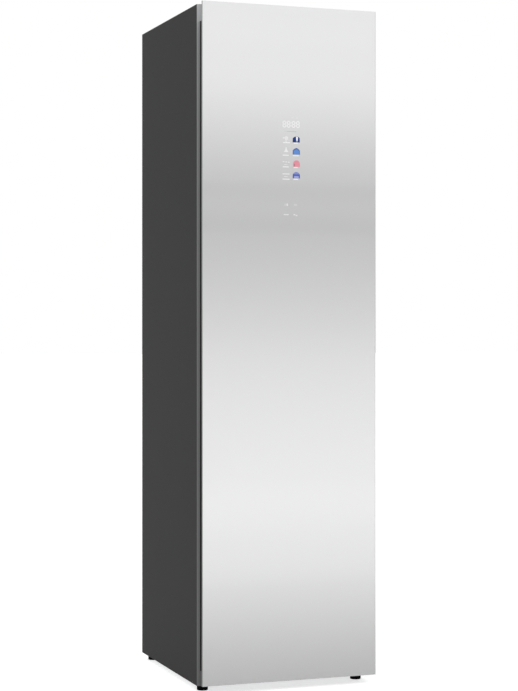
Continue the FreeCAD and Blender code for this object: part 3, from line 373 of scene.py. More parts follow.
def door_cap(name, tone, depth_painted_shade):
    made = Finish(name, {SPECULAR: 0.06})
    # painted shade: darker lower down and towards the glass, lighter at the very top
    painted_shade_tone(made, tone, CAP_PAINTED_SHADE, depth_painted_shade, CAP_FRONT)
    return made.grained(900, 3, 0.4, 0.16, 0.00006, 0.6)


def grip_lining_and_shade(name):
    """Soft dark lining of the finger groove, dark in part as painted shade for the groove, and painted lighter towards
    the top.
    """
    made = Finish(name, {SPECULAR: 0.05})
    # dark grey standing in part for the groove's shade, with painted shade lighter towards the top
    painted_shade_tone(made, colour(44), LINING_PAINTED_SHADE)
    return made.grained(900, 3, 0.55, 0.16, 0.00008, 0.5)


WATER_LEVEL = 128.0         # in both tanks


def gauge_glass(name):
    """Clear window with the water standing behind it."""
    made = Finish(name, {SPECULAR: 0.6, "Coat Weight": 0.8, "Coat Roughness": 0.03})
    above = ((made.axis("Z") - WATER_LEVEL * MM) * 2000).most(0.0).maths("MINIMUM", 1.0)
    return made.feed({"Base Color": made.mix(above, colour(96, 140, 172), colour(198, 208, 214)),
                      "Roughness": 0.16 + 0.06 * made.noise(200, 2)})


def chrome(name):
    """Plated hanger hook."""
    made = Finish(name, {"Metallic": 1.0})
    made.mottled(colour(205, 206, 208), 0.02, 40)
    return made.feed({"Roughness": 0.12 + 0.08 * made.noise(240, 3)})


def lit_mark(name, tone, glow=0.0, gloss=1.0):
    """Mark that shows through the silver backing, under the same gloss as the glass."""
    made = Finish(name, {SPECULAR: 0.3 * gloss, "Coat Weight": gloss, "Coat Roughness": 0.02,
                         "Emission Strength": glow, "Emission Color": tone})
    made.mottled(tone, 0.02, 300)
    return made.feed({"Roughness": 0.4 + 0.05 * made.noise(900, 1)})


PROFILE_GREY, CAP_GREY = colour(150, 151, 152), colour(168, 169, 170)

FINISHES = {
    "casing_grey": powder_coat("dark_grey_powder_coat", colour(52)),
    "galvanised_steel": galvanised("galvanised_sheet", colour(176, 179, 182)),
    "rim_plastic": moulded("front_rim_plastic", colour(78, 79, 81)),
    "liner_plastic": moulded("chamber_lining_plastic", colour(214, 216, 217), 0.42, 700),
    "insulation": foam("insulating_foam", colour(222, 206, 160)),
    "lamp_diffuser": frosted("opal_lamp_lens", colour(244, 243, 238), 0.6),
    "rail_steel": brushed("stainless_rail", colour(196, 197, 199), "x", 0.26),
    "zinc_steel": brushed("zinc_plated_steel", colour(186, 190, 196), "x", 0.38),
    "white_plastic": moulded("white_bay_plastic", colour(222, 223, 222), 0.45, 700),
    "black_plastic": moulded("black_plastic", colour(38, 38, 39), 0.5, 700),
    "compressor_black": enamel("compressor_enamel", colour(24, 24, 25)),
    "motor_steel": brushed("motor_can_steel", colour(150, 153, 158), "y", 0.4),
    "mount_rubber": rubber("mount_rubber", colour(30, 30, 31)),
    "coil_aluminium": finned("coil_fins", colour(200, 203, 206)),
    "boiler_aluminium": cast_metal("boiler_casting", colour(168, 170, 172)),
    "pipe_plastic": translucent("water_hose_plastic", colour(214, 218, 216), 0.25),
    "silver_glass": silver_glass("silver_door_glass"),
    "door_aluminium": anodised("door_profile_aluminium", PROFILE_GREY, GROOVE_PAINTED_SHADE),
    "door_cap_plastic": door_cap("top_door_cap_plastic", CAP_GREY, TOP_CAP_PAINTED_SHADE),
    "gasket_rubber": rubber("door_gasket_rubber", colour(58, 59, 61)),
    "display_plastic": moulded("display_frame_plastic", colour(40, 40, 42)),
    "bush_plastic": moulded("bush_nylon", colour(206, 204, 196), 0.4),
    "tank_plastic": translucent("water_tank_plastic", colour(176, 188, 198)),
    "tank_lid_plastic": moulded("tank_lid_plastic", colour(128, 134, 140), 0.42),
    "filter_plastic": moulded("lint_filter_plastic", colour(92, 108, 124), 0.45),
    "foot_plastic": moulded("foot_plastic", colour(5), 0.6, spread=0.05, specular=0.04),
}

# Nodes whose finish differs a little from the others of their slot.
OWN_FINISHES = {
    "door_bottom_cap": door_cap("foot_door_cap_plastic", CAP_GREY, FOOT_CAP_PAINTED_SHADE),
    "door_hinge_stile": anodised("hinge_side_aluminium", PROFILE_GREY),
}


def dress_nodes():
    """Gives each carried-over node the finish of its slot, or its own."""
    for part in frame["record"]["subparts"]:
        slots = frame["nodes"][part["node"]].data.materials
        slots.clear()
        slots.append(OWN_FINISHES.get(part["node"], FINISHES[part["material_slot"]]))


# ---- mesh making
# Where a flat outline (a, b) at some depth along an axis lies in space.
FACING = {"x": lambda a, b, depth: (depth, a, b),
          "y": lambda a, b, depth: (a, depth, b),
          "z": lambda a, b, depth: (a, b, depth)}


def evenly(low, high, count):
    return [low + (high - low) * i / (count - 1) for i in range(count)]


def middle(span):
    return (span[0] + span[1]) / 2


def shrunk(span, by):
    return span[0] + by, span[1] - by


def about(at, half):
    return at - half, at + half


def spans_of(node):
    """Extent of a carried-over node along X, Y and Z, in millimetres."""
    low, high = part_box(node)
    return [(a / MM, b / MM) for a, b in zip(low, high)]


def spokes(count):
    """Cosine and sine of equal steps round a turn."""
    angles = [math.tau * i / count for i in range(count)]
    return [(math.cos(t), math.sin(t)) for t in angles]


def rounded(x, z, radius, steps=6):
    """Outline of a rectangle with round corners; half its width as radius gives round ends."""
    (left, right), (low, high) = shrunk(x, radius), shrunk(z, radius)
    points = []
    for quarter, (cx, cz) in enumerate(((right, high), (left, high), (left, low), (right, low))):
        for i in range(steps + 1):
            angle = math.radians(90 * (quarter + i / steps))
            point = (cx + radius * math.cos(angle), cz + radius * math.sin(angle))
            if not points or math.dist(point, points[-1]) > 1e-6:
                points.append(point)
    if math.dist(points[0], points[-1]) < 1e-6:
        points.pop()
    return points


def bar(x, z, radius):
    """Outline of a small printed or lit bar."""
    return rounded(x, z, radius, 3)


def bump(base, rise, run):
    """Profile of a pressed or moulded rib: a soft S from just under base, run long and rise high."""
    curve = ((0, -0.3), (0, 0.03), (0.16, 0.14), (0.36, 0.42), (0.58, 0.74), (0.8, 0.94), (1.0, 1.0))
    return [(share * run, base + height * rise) for share, height in curve]


def moulding(base, width, root, shoulder, crown):
    """Profile of a raised frame with soft shoulders, width across, from root to crown over base."""
    return [(0, base + root), (0.4, base + shoulder), (1.6, base + crown), (width - 1.6, base + crown),
            (width - 0.4, base + shoulder), (width, base + root)]


def placed(name, data):
    """A new object in the scene."""
    made = bpy.data.objects.new(name, data)
    bpy.context.scene.collection.objects.link(made)
    return made


class Shape:
    """A mesh in the making, in millimetres."""

    def __init__(self):
        self.mesh = bmesh.new()

    def ring(self, outline, depth, across="y"):
        return [self.mesh.verts.new(FACING[across](a, b, depth)) for a, b in outline]

    def joined(self, *rings):
        """Skin over a run of closed rings; any may be a single point."""
        for a, b in zip(rings, rings[1:]):
            count = max(len(a), len(b))
            for i in range(count):
                j = (i + 1) % count
                corners = (a[i % len(a)], a[j % len(a)], b[j % len(b)], b[i % len(b)])
                self.mesh.faces.new(list(dict.fromkeys(corners)))

    def lofted(self, rings):
        """The same, with a face over each end that isn't a single point."""
        self.joined(*rings)
        for ring in (rings[0], rings[-1]):
            if len(ring) > 1:
                self.mesh.faces.new(ring)

    def prism(self, outline, start, end, across="y"):
        """A flat outline pushed from start to end along an axis."""
        self.lofted([self.ring(outline, depth, across) for depth in (start, end)])

    def box(self, x, y, z):
        self.prism([(x[0], z[0]), (x[1], z[0]), (x[1], z[1]), (x[0], z[1])], y[0], y[1])

    def turned(self, profile, centre, steps, along=(0, 0, 1)):
        """Turns a profile of (radius, distance) pairs about an axis through centre."""
        centre, along = Vector(centre), Vector(along)
        side = along.orthogonal().normalized()
        other = along.cross(side)
        rings = []
        for radius, distance in profile:
            spots = [side * c + other * s for c, s in spokes(steps if radius else 1)]
            rings.append([self.mesh.verts.new(centre + along * distance + spot * radius) for spot in spots])
        self.lofted(rings)

    def stepped(self, x, z, profile, radius, steps, across="y"):
        """Rings of a round-cornered rectangle that shrinks along (inset, depth) pairs."""
        return [self.ring(rounded(shrunk(x, inset), shrunk(z, inset), max(radius - inset, 0.05), steps), depth, across)
                for inset, depth in profile]

    def framed(self, x, z, profile, radius):
        """A closed profile of (inset, y) pairs carried round a rectangle in the XZ plane."""
        rings = self.stepped(x, z, profile, radius, 5)
        self.joined(*rings, rings[0])

    def raised(self, x, z, profile, radius, steps=8, across="y"):
        """A low pad whose outline steps in along (inset, depth) pairs."""
        self.lofted(self.stepped(x, z, profile, radius, steps, across))

    def swept(self, points, radius):
        """A round bar along points in a plane of constant X, with domed ends."""
        points = [Vector(p) for p in points]
        spans = [(b - a).normalized() for a, b in zip(points, points[1:])]
        across = Vector((1, 0, 0))

        def ring_at(centre, heading, lift=0.0, size=1.0):
            up = across.cross(heading)
            centre = centre + heading * lift * radius
            return [self.mesh.verts.new(centre + (across * c + up * s) * size * radius) for c, s in spokes(14)]

        dome = ((1.0, 0.15), (0.8, 0.6), (0.45, 0.9))
        rings = [ring_at(points[0], spans[0], -lift, size) for lift, size in dome]
        for point, before, after in zip(points, spans[:1] + spans, spans + spans[-1:]):
            rings.append(ring_at(point, (before + after).normalized()))
        rings += [ring_at(points[-1], spans[-1], lift, size) for lift, size in reversed(dome)]
        self.lofted(rings)

    def knurled(self, centre, z, radius, ribs, depth):
        """An upright disc whose rim carries rounded grip ribs."""
        outline = []
        for i in range(ribs * 4):
            angle = math.tau * i / (ribs * 4)
            reach = radius - depth * (0.5 - 0.5 * math.cos(angle * ribs))
            outline.append((centre[0] + reach * math.cos(angle), centre[1] + reach * math.sin(angle)))
        self.prism(outline, z[0], z[1], "z")

    def piece(self, name, body, slot, finish=None, round_by=0.0, steps=2, replaces=()):
        """Makes the object in its slot's finish or its own, and rides it on its body."""
        bmesh.ops.recalc_face_normals(self.mesh, faces=self.mesh.faces)
        bmesh.ops.scale(self.mesh, vec=(MM, MM, MM), verts=self.mesh.verts)
        data = bpy.data.meshes.new(name)
        self.mesh.to_mesh(data)
        self.mesh.free()
        data.materials.append(finish or FINISHES[slot])
        made = placed(name, data)
        if round_by:
            bevel = made.modifiers.new("rounded_edges", "BEVEL")
            bevel.width = round_by * MM
            bevel.segments = steps
            bevel.limit_method = "ANGLE"
        else:
            data.shade_smooth()
            data.set_sharp_from_angle(angle=math.radians(35))
        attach(made, body)
        if replaces:
            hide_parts(*replaces)
        return made


# ---- door
def make_door_glass():
    """Flat sheet whose two long front edges are ground back."""
    left, right = spans_of("door_glass")[0]
    front, back, ground = GLASS_FACE + FILM, CAP_FRONT, 1.6
    glass = Shape()
    glass.prism([(left, back), (left, front + ground), (left + ground, front), (right - ground, front),
                 (right, front + ground), (right, back)], GLASS_FOOT, GLASS_TOP, "z")
    sheet = glass.piece("door_glass_sheet", "door", "silver_glass", round_by=0.25, replaces=["door_glass"])
    sheet.data.materials.append(glass_edge("ground_glass_edge"))
    for face in sheet.data.polygons:
        if abs(face.normal.x) > 0.3:
            face.material_index = 1


def make_grip_lining():
    """Dark soft lining of the finger groove behind the glass, dark in part as painted shade for the groove."""
    x, y, z = spans_of("door_grip_profile")
    wall = 0.6
    left, right, front, back = x[0] + 0.3, x[0] + 19.8, y[0] + 0.1, y[0] + 11.9
    lining = Shape()
    lining.prism([(left, front), (right, front), (right, back), (left, back), (left, back - wall),
                  (right - wall, back - wall), (right - wall, front + wall), (left, front + wall)],
                 z[0] + 0.2, z[1] - 0.2, "z")
    lining.piece("door_grip_lining", "door", "door_cap_plastic", grip_lining_and_shade("grip_lining_and_shade"))


def make_edge_lip():
    """Drawn lip that closes the door's grip side against the casing, caps and all."""
    x, y, _ = spans_of("door_grip_profile")
    low, high = spans_of("door_bottom_cap")[2][0] + 0.3, spans_of("door_top_cap")[2][1] - 0.3
    lip = Shape()
    lip.box((x[0] + 0.02, x[0] + 2.2), (y[1] - 0.2, y[1] + 2.65), (low, high))
    # the lip takes the profile's finish: a painted highlight along the lip and painted shade down its height
    lip.piece("door_edge_lip", "door", "door_aluminium", round_by=0.4)


# Section of the magnetic seal: two lips either side of a bulb, as inset and rise.
GASKET_PROFILE = ((0.5, 0.0), (0.0, 0.4), (0.3, 1.8), (1.2, 2.1), (1.7, 1.3), (2.5, 1.3), (2.9, 2.5), (3.3, 2.7),
                  (8.7, 2.7), (9.1, 2.5), (9.5, 1.3), (10.3, 1.3), (10.8, 2.1), (11.7, 1.8), (12.0, 0.4), (11.5, 0.0))


def make_gasket():
    x, y, z = spans_of("door_gasket")
    seal = Shape()
    seal.framed(x, z, [(inset, y[0] + rise) for inset, rise in GASKET_PROFILE], 3.0)
    seal.piece("door_gasket_profile", "door", "gasket_rubber", replaces=["door_gasket"])


SEAL_INSIDE = 12.6          # from the seal's outer edge to the liner sheet
BORDER_IN, FIELD_IN = 7.0, 26.0


def make_inner_door():
    """Liner on the inside of the door, out to the gasket, with a raised border, field and ribs."""
    x, y, z = spans_of("door_inner_panel")
    seal_x, _, seal_z = spans_of("door_gasket")
    back = y[1] + 0.5
    sheet = Shape()
    sheet.prism(rounded(shrunk(seal_x, SEAL_INSIDE), shrunk(seal_z, SEAL_INSIDE), 2.0), back - 0.6, back)
    sheet.piece("door_liner_sheet", "door", "liner_plastic")
    border = Shape()
    border.framed(shrunk(x, BORDER_IN), shrunk(z, BORDER_IN), moulding(back, 9, -0.2, 0.9, 1.8), 16.0)
    border.piece("door_panel_border", "door", "liner_plastic")
    field = Shape()
    field.raised(shrunk(x, FIELD_IN), shrunk(z, FIELD_IN), bump(back, 1.1, 2.2), 14.0)
    field.piece("door_panel_field", "door", "liner_plastic")
    ribs = Shape()
    for at in evenly(*shrunk(x, 70), 7):
        ribs.raised(about(at, 3), shrunk(z, 120), bump(back + 1.1, 0.6, 1.4), 3.0)
    ribs.piece("door_panel_ribs", "door", "liner_plastic")


# ---- chamber
COVE_R = 5.0
DUCT_X, DUCT_Z = (-121.0, 35.0), (1570.0, 1650.0)     # slots of the air outlet in the back wall


def cove(corner, toward):
    """Outline of a hollow fillet in a corner; toward gives the signs of the open side."""
    (cx, cy), (tx, ty) = corner, toward
    angles = [math.radians(15 * i) for i in range(7)]
    return [corner] + [(cx + tx * COVE_R * (1 - math.cos(t)), cy + ty * COVE_R * (1 - math.sin(t))) for t in angles]


def make_chamber():
    """Coves in the corners of the lining, flutes on its walls, and trims round its openings."""
    (left, right), (front, back), floor_z = spans_of("chamber_floor")
    low, high = floor_z[1], spans_of("chamber_ceiling")[2][0]

    coves = Shape()
    for x, toward_x in ((left, 1), (right, -1)):
        coves.prism(cove((x, back), (toward_x, -1)), low, high, "z")
        for z, toward_z in ((low, 1), (high, -1)):
            coves.prism(cove((x, z), (toward_x, toward_z)), front, back, "y")
    for z, toward_z in ((low, 1), (high, -1)):
        coves.prism(cove((back, z), (-1, toward_z)), left, right, "x")
    coves.piece("chamber_corner_coves", "cabinet", "liner_plastic")

    flutes = Shape()
    for side in (left, right):
        inward = 1.2 if side < 0 else -1.2
        for at in evenly(front + 60, back - 50, 6):
            flutes.raised(about(at, 8), (low + 230, high - 130), bump(side, inward, 1.8), 8.0, across="x")
    for at in evenly(*shrunk((left, right), 60), 5):
        flutes.raised(about(at, 8), (low + 230, high - 330), bump(back, -1.2, 1.8), 8.0)
    flutes.piece("chamber_wall_flutes", "cabinet", "liner_plastic")

    mouth = Shape()
    face = spans_of("front_rim")[1][0]
    mouth.framed((left - 4.6, right + 4.6), (low - 4.6, high + 4.6),
                 [(0, face + 0.2), (0.2, face - 0.5), (1.0, face - 1.1), (3.6, face - 1.1), (5.0, face - 0.3),
                  (5.6, face + 1.6), (5.6, face + 6.0), (4.6, face + 6.2)], 6.0)
    mouth.piece("chamber_mouth_trim", "cabinet", "liner_plastic")

    bezel = Shape()
    bezel.framed(shrunk(DUCT_X, -9), shrunk(DUCT_Z, -9), moulding(back, 6, 0.1, -1.4, -2.2), 8.0)
    bezel.piece("air_outlet_bezel", "cabinet", "liner_plastic")


def make_filter_mesh():
    """Woven wires of the lint filter, two layers crossing."""
    x, y, z = spans_of("lint_filter")
    margin, wire = 10.5, 0.35
    inside_x, inside_y = shrunk(x, margin), shrunk(y, margin)
    mesh = Shape()
    for at in evenly(*shrunk(inside_x, 3), 60):
        mesh.box(about(at, wire), inside_y, (z[0] + 2.4, z[0] + 2.9))
    for at in evenly(*shrunk(inside_y, 3), 44):
        mesh.box(inside_x, about(at, wire), (z[0] + 2.8, z[0] + 3.3))
    mesh.piece("lint_filter_mesh", "lint_filter", "filter_plastic", FINISHES["rail_steel"])


# ---- rail and hangers
RAIL_Y, RAIL_Z = -4.15, 1690.0
POST_X = 160.3
HOOK_R, HOOK_CENTRE = 22.5, 1681.3
HOOK_NECK = ((0, 1636.8), (0, 1645), (0.6, 1650), (2.8, 1655), (6.5, 1659.2))
SHOULDER = 1638.8
HANGER_HALF = 198.85
HANGERS = (("hanger_left", -100.0), ("hanger_middle", 0.0), ("hanger_right", 100.0))
GRIP_RIB = (-1.6 - 0.8j, 1.6 - 0.8j, 1.2 + 0.7j, -1.2 + 0.7j)     # along the shoulder and out of it
RAIL_CAP = ((0, 3.2), (7, 3.2), (10.4, 2.2), (11.6, 0.6), (11.6, -4.5), (11.15, -5.5))
POST_SHIELD = ((6.2, -3.2), (8.2, -3.0), (9.0, -1.6), (17.5, -1.4), (18.4, -0.9), (18.4, -0.4), (6.2, -0.4))


def make_rail_trim():
    rail_x = spans_of("hanger_rail")[0]
    caps = Shape()
    for end, side in zip(rail_x, (-1, 1)):
        caps.turned(RAIL_CAP, (end, RAIL_Y, RAIL_Z), 40, (side, 0, 0))
    caps.piece("rail_end_caps", "rail", "black_plastic")
    shields = Shape()
    ceiling = spans_of("chamber_ceiling")[2][0]
    for at in (-POST_X, POST_X):
        shields.turned(POST_SHIELD, (at, RAIL_Y, ceiling), 40)
    shields.piece("post_shields", "rail", "liner_plastic")


def arc_through(first, between, last, steps=14):
    """Points of the circle arc through three points, worked out on complex numbers."""
    first, between, last = complex(*first), complex(*between), complex(*last)
    share = (last - first) / (between - first)
    centre = first + (between - first) * (share - abs(share) ** 2) / 2j / share.imag
    sweep = cmath.phase((last - centre) / (first - centre))
    points = [centre + (first - centre) * cmath.rect(1, sweep * i / steps) for i in range(steps + 1)]
    return [(point.real, point.imag) for point in points]


def hanger_outline():
    """Half of the hanger's outline, from the neck round the tip to under the middle."""
    upper = arc_through((12, 0), (HANGER_HALF / 2, -24.3), (HANGER_HALF - 6, -72))
    end = arc_through((HANGER_HALF - 6, -72), (HANGER_HALF, -81), (HANGER_HALF - 12, -90), 8)
    lower = arc_through((HANGER_HALF - 12, -90), (HANGER_HALF / 2, -51), (0, -27))
    return upper + end[1:] + lower[1:]


def make_hangers():
    """Shaped arms with grip ribs on their shoulders, and a plated hook over the rail."""
    half = hanger_outline()
    outline = [(RAIL_Y + y, SHOULDER + z) for y, z in half + [(-y, z) for y, z in reversed(half[:-1])]]
    path = list(HOOK_NECK)
    for degrees in range(-60, 181, 8):
        angle = math.radians(degrees)
        path.append((HOOK_R * math.cos(angle), HOOK_CENTRE + HOOK_R * math.sin(angle)))
    plated = chrome("plated_hook")
    pad = rubber("hanger_grip_rubber", colour(70, 71, 73))
    for name, x in HANGERS:
        arms = Shape()
        arms.prism(outline, *about(x, 7), "x")
        arms.piece(name + "_arms", name, "black_plastic", round_by=5.2, steps=5, replaces=[name])
        hook = Shape()
        hook.swept([(x, RAIL_Y + y, z) for y, z in path], 2.5)
        hook.turned(((3.2, 4.2), (5.2, 3.4), (6.0, 0.6), (6.0, -1.5)), (x, RAIL_Y, SHOULDER), 28)
        hook.piece(name + "_hook", name, "rail_steel", plated)
        grips = Shape()
        for side in (-1, 1):
            for step in range(6, 11):
                base, ahead = complex(*half[step]), complex(*half[step + 1])
                run = (ahead - base) / abs(ahead - base)
                rib = [base + run * corner for corner in GRIP_RIB]
                grips.prism([(RAIL_Y + side * spot.real, SHOULDER + spot.imag) for spot in rib], *about(x, 4.6), "x")
        grips.piece(name + "_grips", name, "mount_rubber", pad)


# ---- tanks
TANK_TONES = {"supply_tank": colour(58, 118, 168), "drain_tank": colour(112, 116, 120)}
GRIP_Z, WINDOW_Z, TICK_Z = (202, 240), (84, 186), (92, 178)


def make_tank_trim():
    """Rim of each tank's grip, its level window with ticks, and its filler cap."""
    clear = gauge_glass("tank_level_window")
    ink = moulded("tank_tick_print", colour(236, 238, 240), depth=0.00002)
    for tank, tone in TANK_TONES.items():
        x, y, _ = spans_of(tank)
        mid_x, mid_y, front = middle(x), middle(y), y[0]
        trim = moulded(tank + "_grip_trim", tone, 0.4, 700)
        grip = Shape()
        grip.framed(about(mid_x, 49), GRIP_Z,
                    [(0, front + 0.2), (0.2, front - 0.6), (0.9, front - 1.0), (3.2, front - 1.0), (4.2, front - 0.4),
                     (4.6, front + 1.0), (4.6, front + 14.0), (4.2, front + 14.0), (4.1, front + 0.2)], 7.0)
        grip.piece(tank + "_grip_trim", tank, "tank_lid_plastic", trim)
        window = Shape()
        window.raised((mid_x + 62, mid_x + 72), WINDOW_Z, bump(front, -0.7, 0.8), 5.0)
        window.piece(tank + "_level_window", tank, "tank_plastic", clear)
        ticks = Shape()
        for i, level in enumerate(evenly(*TICK_Z, 9)):
            reach = 6.0 if i % 4 == 0 else 3.4
            ticks.prism(bar((mid_x + 59.4 - reach, mid_x + 59.4), about(level, 0.5), 0.4), front + 0.1, front - 0.15)
        ticks.piece(tank + "_level_ticks", tank, "tank_lid_plastic", ink)
        cap = Shape()
        top = spans_of(tank + "_lid")[2][1]
        cap.knurled((mid_x, mid_y), (top, top + 6.0), 19.0, 30, 0.8)
        cap.turned(((17.2, 0.0), (16.4, 0.9), (0, 1.1)), (mid_x, mid_y, top + 5.9), 60)
        cap.box(about(mid_x, 14), about(mid_y, 2.2), (top + 6, top + 9.0))
        cap.piece(tank + "_filler_cap", tank, "tank_lid_plastic", trim, round_by=0.4)


# ---- casing
PAD_BASE = ((0, 0), (13.8, 0), (14.7, 0.5), (15.0, 1.4), (15.0, 3.6), (14.6, 3.9), (14.6, 4.3))
PAD_TOP = ((14.6, 11.1), (14.5, 11.7), (13.8, 12.3), (12.6, 12.5), (8.4, 12.5))
FOOT_NUT = ((9.6, 12.4), (9.6, 14.1), (9.0, 14.5), (5.2, 14.5))
THREAD_PITCH = 1.25


def make_feet():
    """Levelling feet: a knurled pad, a hexagon to turn it by, and the threaded stem."""
    ridges = [(radius, start + i * THREAD_PITCH) for i in range(30) for radius, start in ((5.0, 14.4), (4.45, 15.0))]
    for name in ("foot_front_left", "foot_front_right", "foot_rear_left", "foot_rear_right"):
        x, y, _ = spans_of(name)
        centre = (middle(x), middle(y), 0)
        foot = Shape()
        foot.turned(PAD_BASE, centre, 64)
        foot.knurled(centre, (4.2, 11.2), 15.0, 36, 0.45)
        foot.turned(PAD_TOP, centre, 64)
        foot.turned(FOOT_NUT, centre, 6)
        foot.piece(name + "_pad", name, "foot_plastic", replaces=[name])
        thread = Shape()
        thread.turned([(0, 14.4)] + ridges + [(4.0, 51.9), (0, 52.0)], centre, 24)
        thread.piece(name + "_thread", name, "zinc_steel")


HEAD_R, HEAD_RISE, FLAT_RISE = 4.0, 1.6, 0.78
SCREW_X, SCREW_Z = 239.3, (42.0, 1824.8)     # of the rear panel
COVER_SCREW_IN = 22.0 / 3                    # from the service cover's edges
HINGE_SCREW_Z = (15.8, 1849.2)
SCREW_TURN = 0.7                             # no two crosses stand alike


def screw_head(shape, centre, out, rise, turn):
    """Pan head with a cross recess; out is the unit direction away from the sheet."""
    centre, out = Vector(centre), Vector(out)
    side = out.orthogonal().normalized()
    side.rotate(Quaternion(out, turn))
    other = out.cross(side)
    arm, width, deep = HEAD_R * 0.52, HEAD_R * 0.13, rise * 0.75

    def spot(a, b, lift):
        return shape.mesh.verts.new(centre + side * a + other * b + out * lift)

    rings = [[spot(HEAD_R * size * c, HEAD_R * size * s, rise * lift) for c, s in spokes(28)]
             for size, lift in ((1, 0), (1, 0.45), (0.93, 0.75), (0.78, 1))]
    shape.joined(*rings)
    shape.mesh.faces.new(rings[0])
    cross = [(arm, -width), (arm, width), (width, width)]
    for _ in range(3):
        cross += [(-b, a) for a, b in cross[-3:]]
    rim = [spot(a, b, rise) for a, b in cross]
    floor = [spot(a * 0.8, b * 0.8, rise - deep) for a, b in cross]
    shape.joined(rim, floor)
    shape.mesh.faces.new(floor)
    edges = shape.mesh.edges
    edges.index_update()
    loops = [edges.get(pair) or edges.new(pair) for ring in (rings[-1], rim) for pair in zip(ring, ring[1:] + ring[:1])]
    bmesh.ops.triangle_fill(shape.mesh, use_beauty=True, use_dissolve=False, edges=loops)


def make_screws():
    """Every visible screw head, over the carried-over screws."""
    heads = Shape()
    rear_y = spans_of("rear_panel")[1][1]
    cover_x, cover_y, cover_z = spans_of("rear_service_cover")
    backs = [(x, rear_y, z) for x in (-SCREW_X, SCREW_X) for z in evenly(*SCREW_Z, 4)]
    backs += [(x, cover_y[1], z) for x in shrunk(cover_x, COVER_SCREW_IN) for z in shrunk(cover_z, COVER_SCREW_IN)]
    turn = 0.3
    for spot in backs:
        screw_head(heads, spot, (0, 1, 0), HEAD_RISE, turn)
        turn += SCREW_TURN
    hinge_x, hinge_y, _ = spans_of("hinge_brackets")
    for y in (spans_of("front_rim")[1][0] + 22.0, hinge_y[1] - 11.0):
        screw_head(heads, (middle(hinge_x), y, HINGE_SCREW_Z[1]), (0, 0, 1), FLAT_RISE, turn)
        screw_head(heads, (middle(hinge_x), y, HINGE_SCREW_Z[0]), (0, 0, -1), FLAT_RISE, turn + 0.4)
        turn += SCREW_TURN
    heads.piece("casing_screw_heads", "cabinet", "zinc_steel", replaces=["casing_screws"])


LOUVRE = ((-0.05, 10.0), (0.9, 7.2), (1.55, 1.2), (1.0, 1.0), (0.4, 6.2), (-0.05, 7.0))
GLAND_NUT = ((13.2, -1.0), (13.2, 0.1), (12.2, 0.35), (6.4, 0.35), (5.6, 0.1), (5.6, -1.0))


def make_rear():
    """Formed louvre hoods, stiffening beads and a gland nut on the back."""
    x, y, z = spans_of("rear_service_cover")
    hoods = Shape()
    for at in evenly(*shrunk(z, 44), 10):
        hoods.prism([(y[1] + out, at + up) for out, up in LOUVRE], *shrunk(x, 43), "x")
    hoods.piece("rear_louvre_hoods", "cabinet", "galvanised_steel")
    panel = spans_of("rear_panel")[1][1]
    beads = Shape()
    for at in (-170.0, -60.0, 60.0, 170.0):
        beads.raised(about(at, 9), (390, 1740), bump(panel, 2.2, 3.0), 9.0, 10)
    for at in (352.0, 1775.0):
        beads.raised(about(0, 200), about(at, 7), bump(panel, 1.8, 2.6), 7.0, 10)
    beads.piece("rear_panel_beads", "cabinet", "galvanised_steel")
    inlet_x, inlet_y, inlet_z = spans_of("power_inlet")
    nut = Shape()
    nut.turned(GLAND_NUT, (middle(inlet_x), inlet_y[1], middle(inlet_z)), 6, (0, 1, 0))
    nut.piece("power_inlet_nut", "cabinet", "black_plastic")


# ---- display behind the glass
# Name, display colour, glow and gloss of each lit tone.
LIT_TONES = (
    ("lit_white", (242,), 0.02), ("lit_faint_white", (238,), 0.03), ("lit_digit_white", (246,), 0.01),
    ("lit_teal", (178, 206, 198)), ("lit_pale_teal", (200, 216, 211)), ("lit_dim_white", (230,)),
    ("lit_navy", (24, 52, 120), 0.0, 0.35), ("lit_shirt_white", (246, 249, 255), 0.06),
    ("lit_pale_blue", (120, 146, 200)), ("lit_dusk_violet", (168, 162, 184)), ("lit_mid_blue", (82, 138, 214)),
    ("lit_deep_blue", (66, 98, 166)), ("lit_rose", (232, 142, 158)), ("lit_deep_rose", (186, 112, 128)),
    ("lit_blue_violet", (58, 84, 180)), ("lit_hazy_violet", (122, 138, 202)), ("lit_lilac", (156, 166, 222)),
    ("touch_key_grey", (207,)), ("touch_key_white", (226,)))
LIT = {name: lit_mark(name, colour(*tone), *more) for name, tone, *more in LIT_TONES}

ROWS = (1482, 1448.6, 1415.3, 1384.2)      # foot of each garment mark
# Height of each caption's middle, and its extent across.
CAPTIONS = ((1480, (-21.5, -1.2)), (1479, (9.4, 21.8)), (1446, (-22.3, -4.6)), (1445.6, (6.8, 24)),
            (1414.5, (-22.3, -4.6)), (1413.6, (9.2, 21.4)), (1381.3, (-23.2, -2.2)), (1381.4, (8.2, 22.6)))
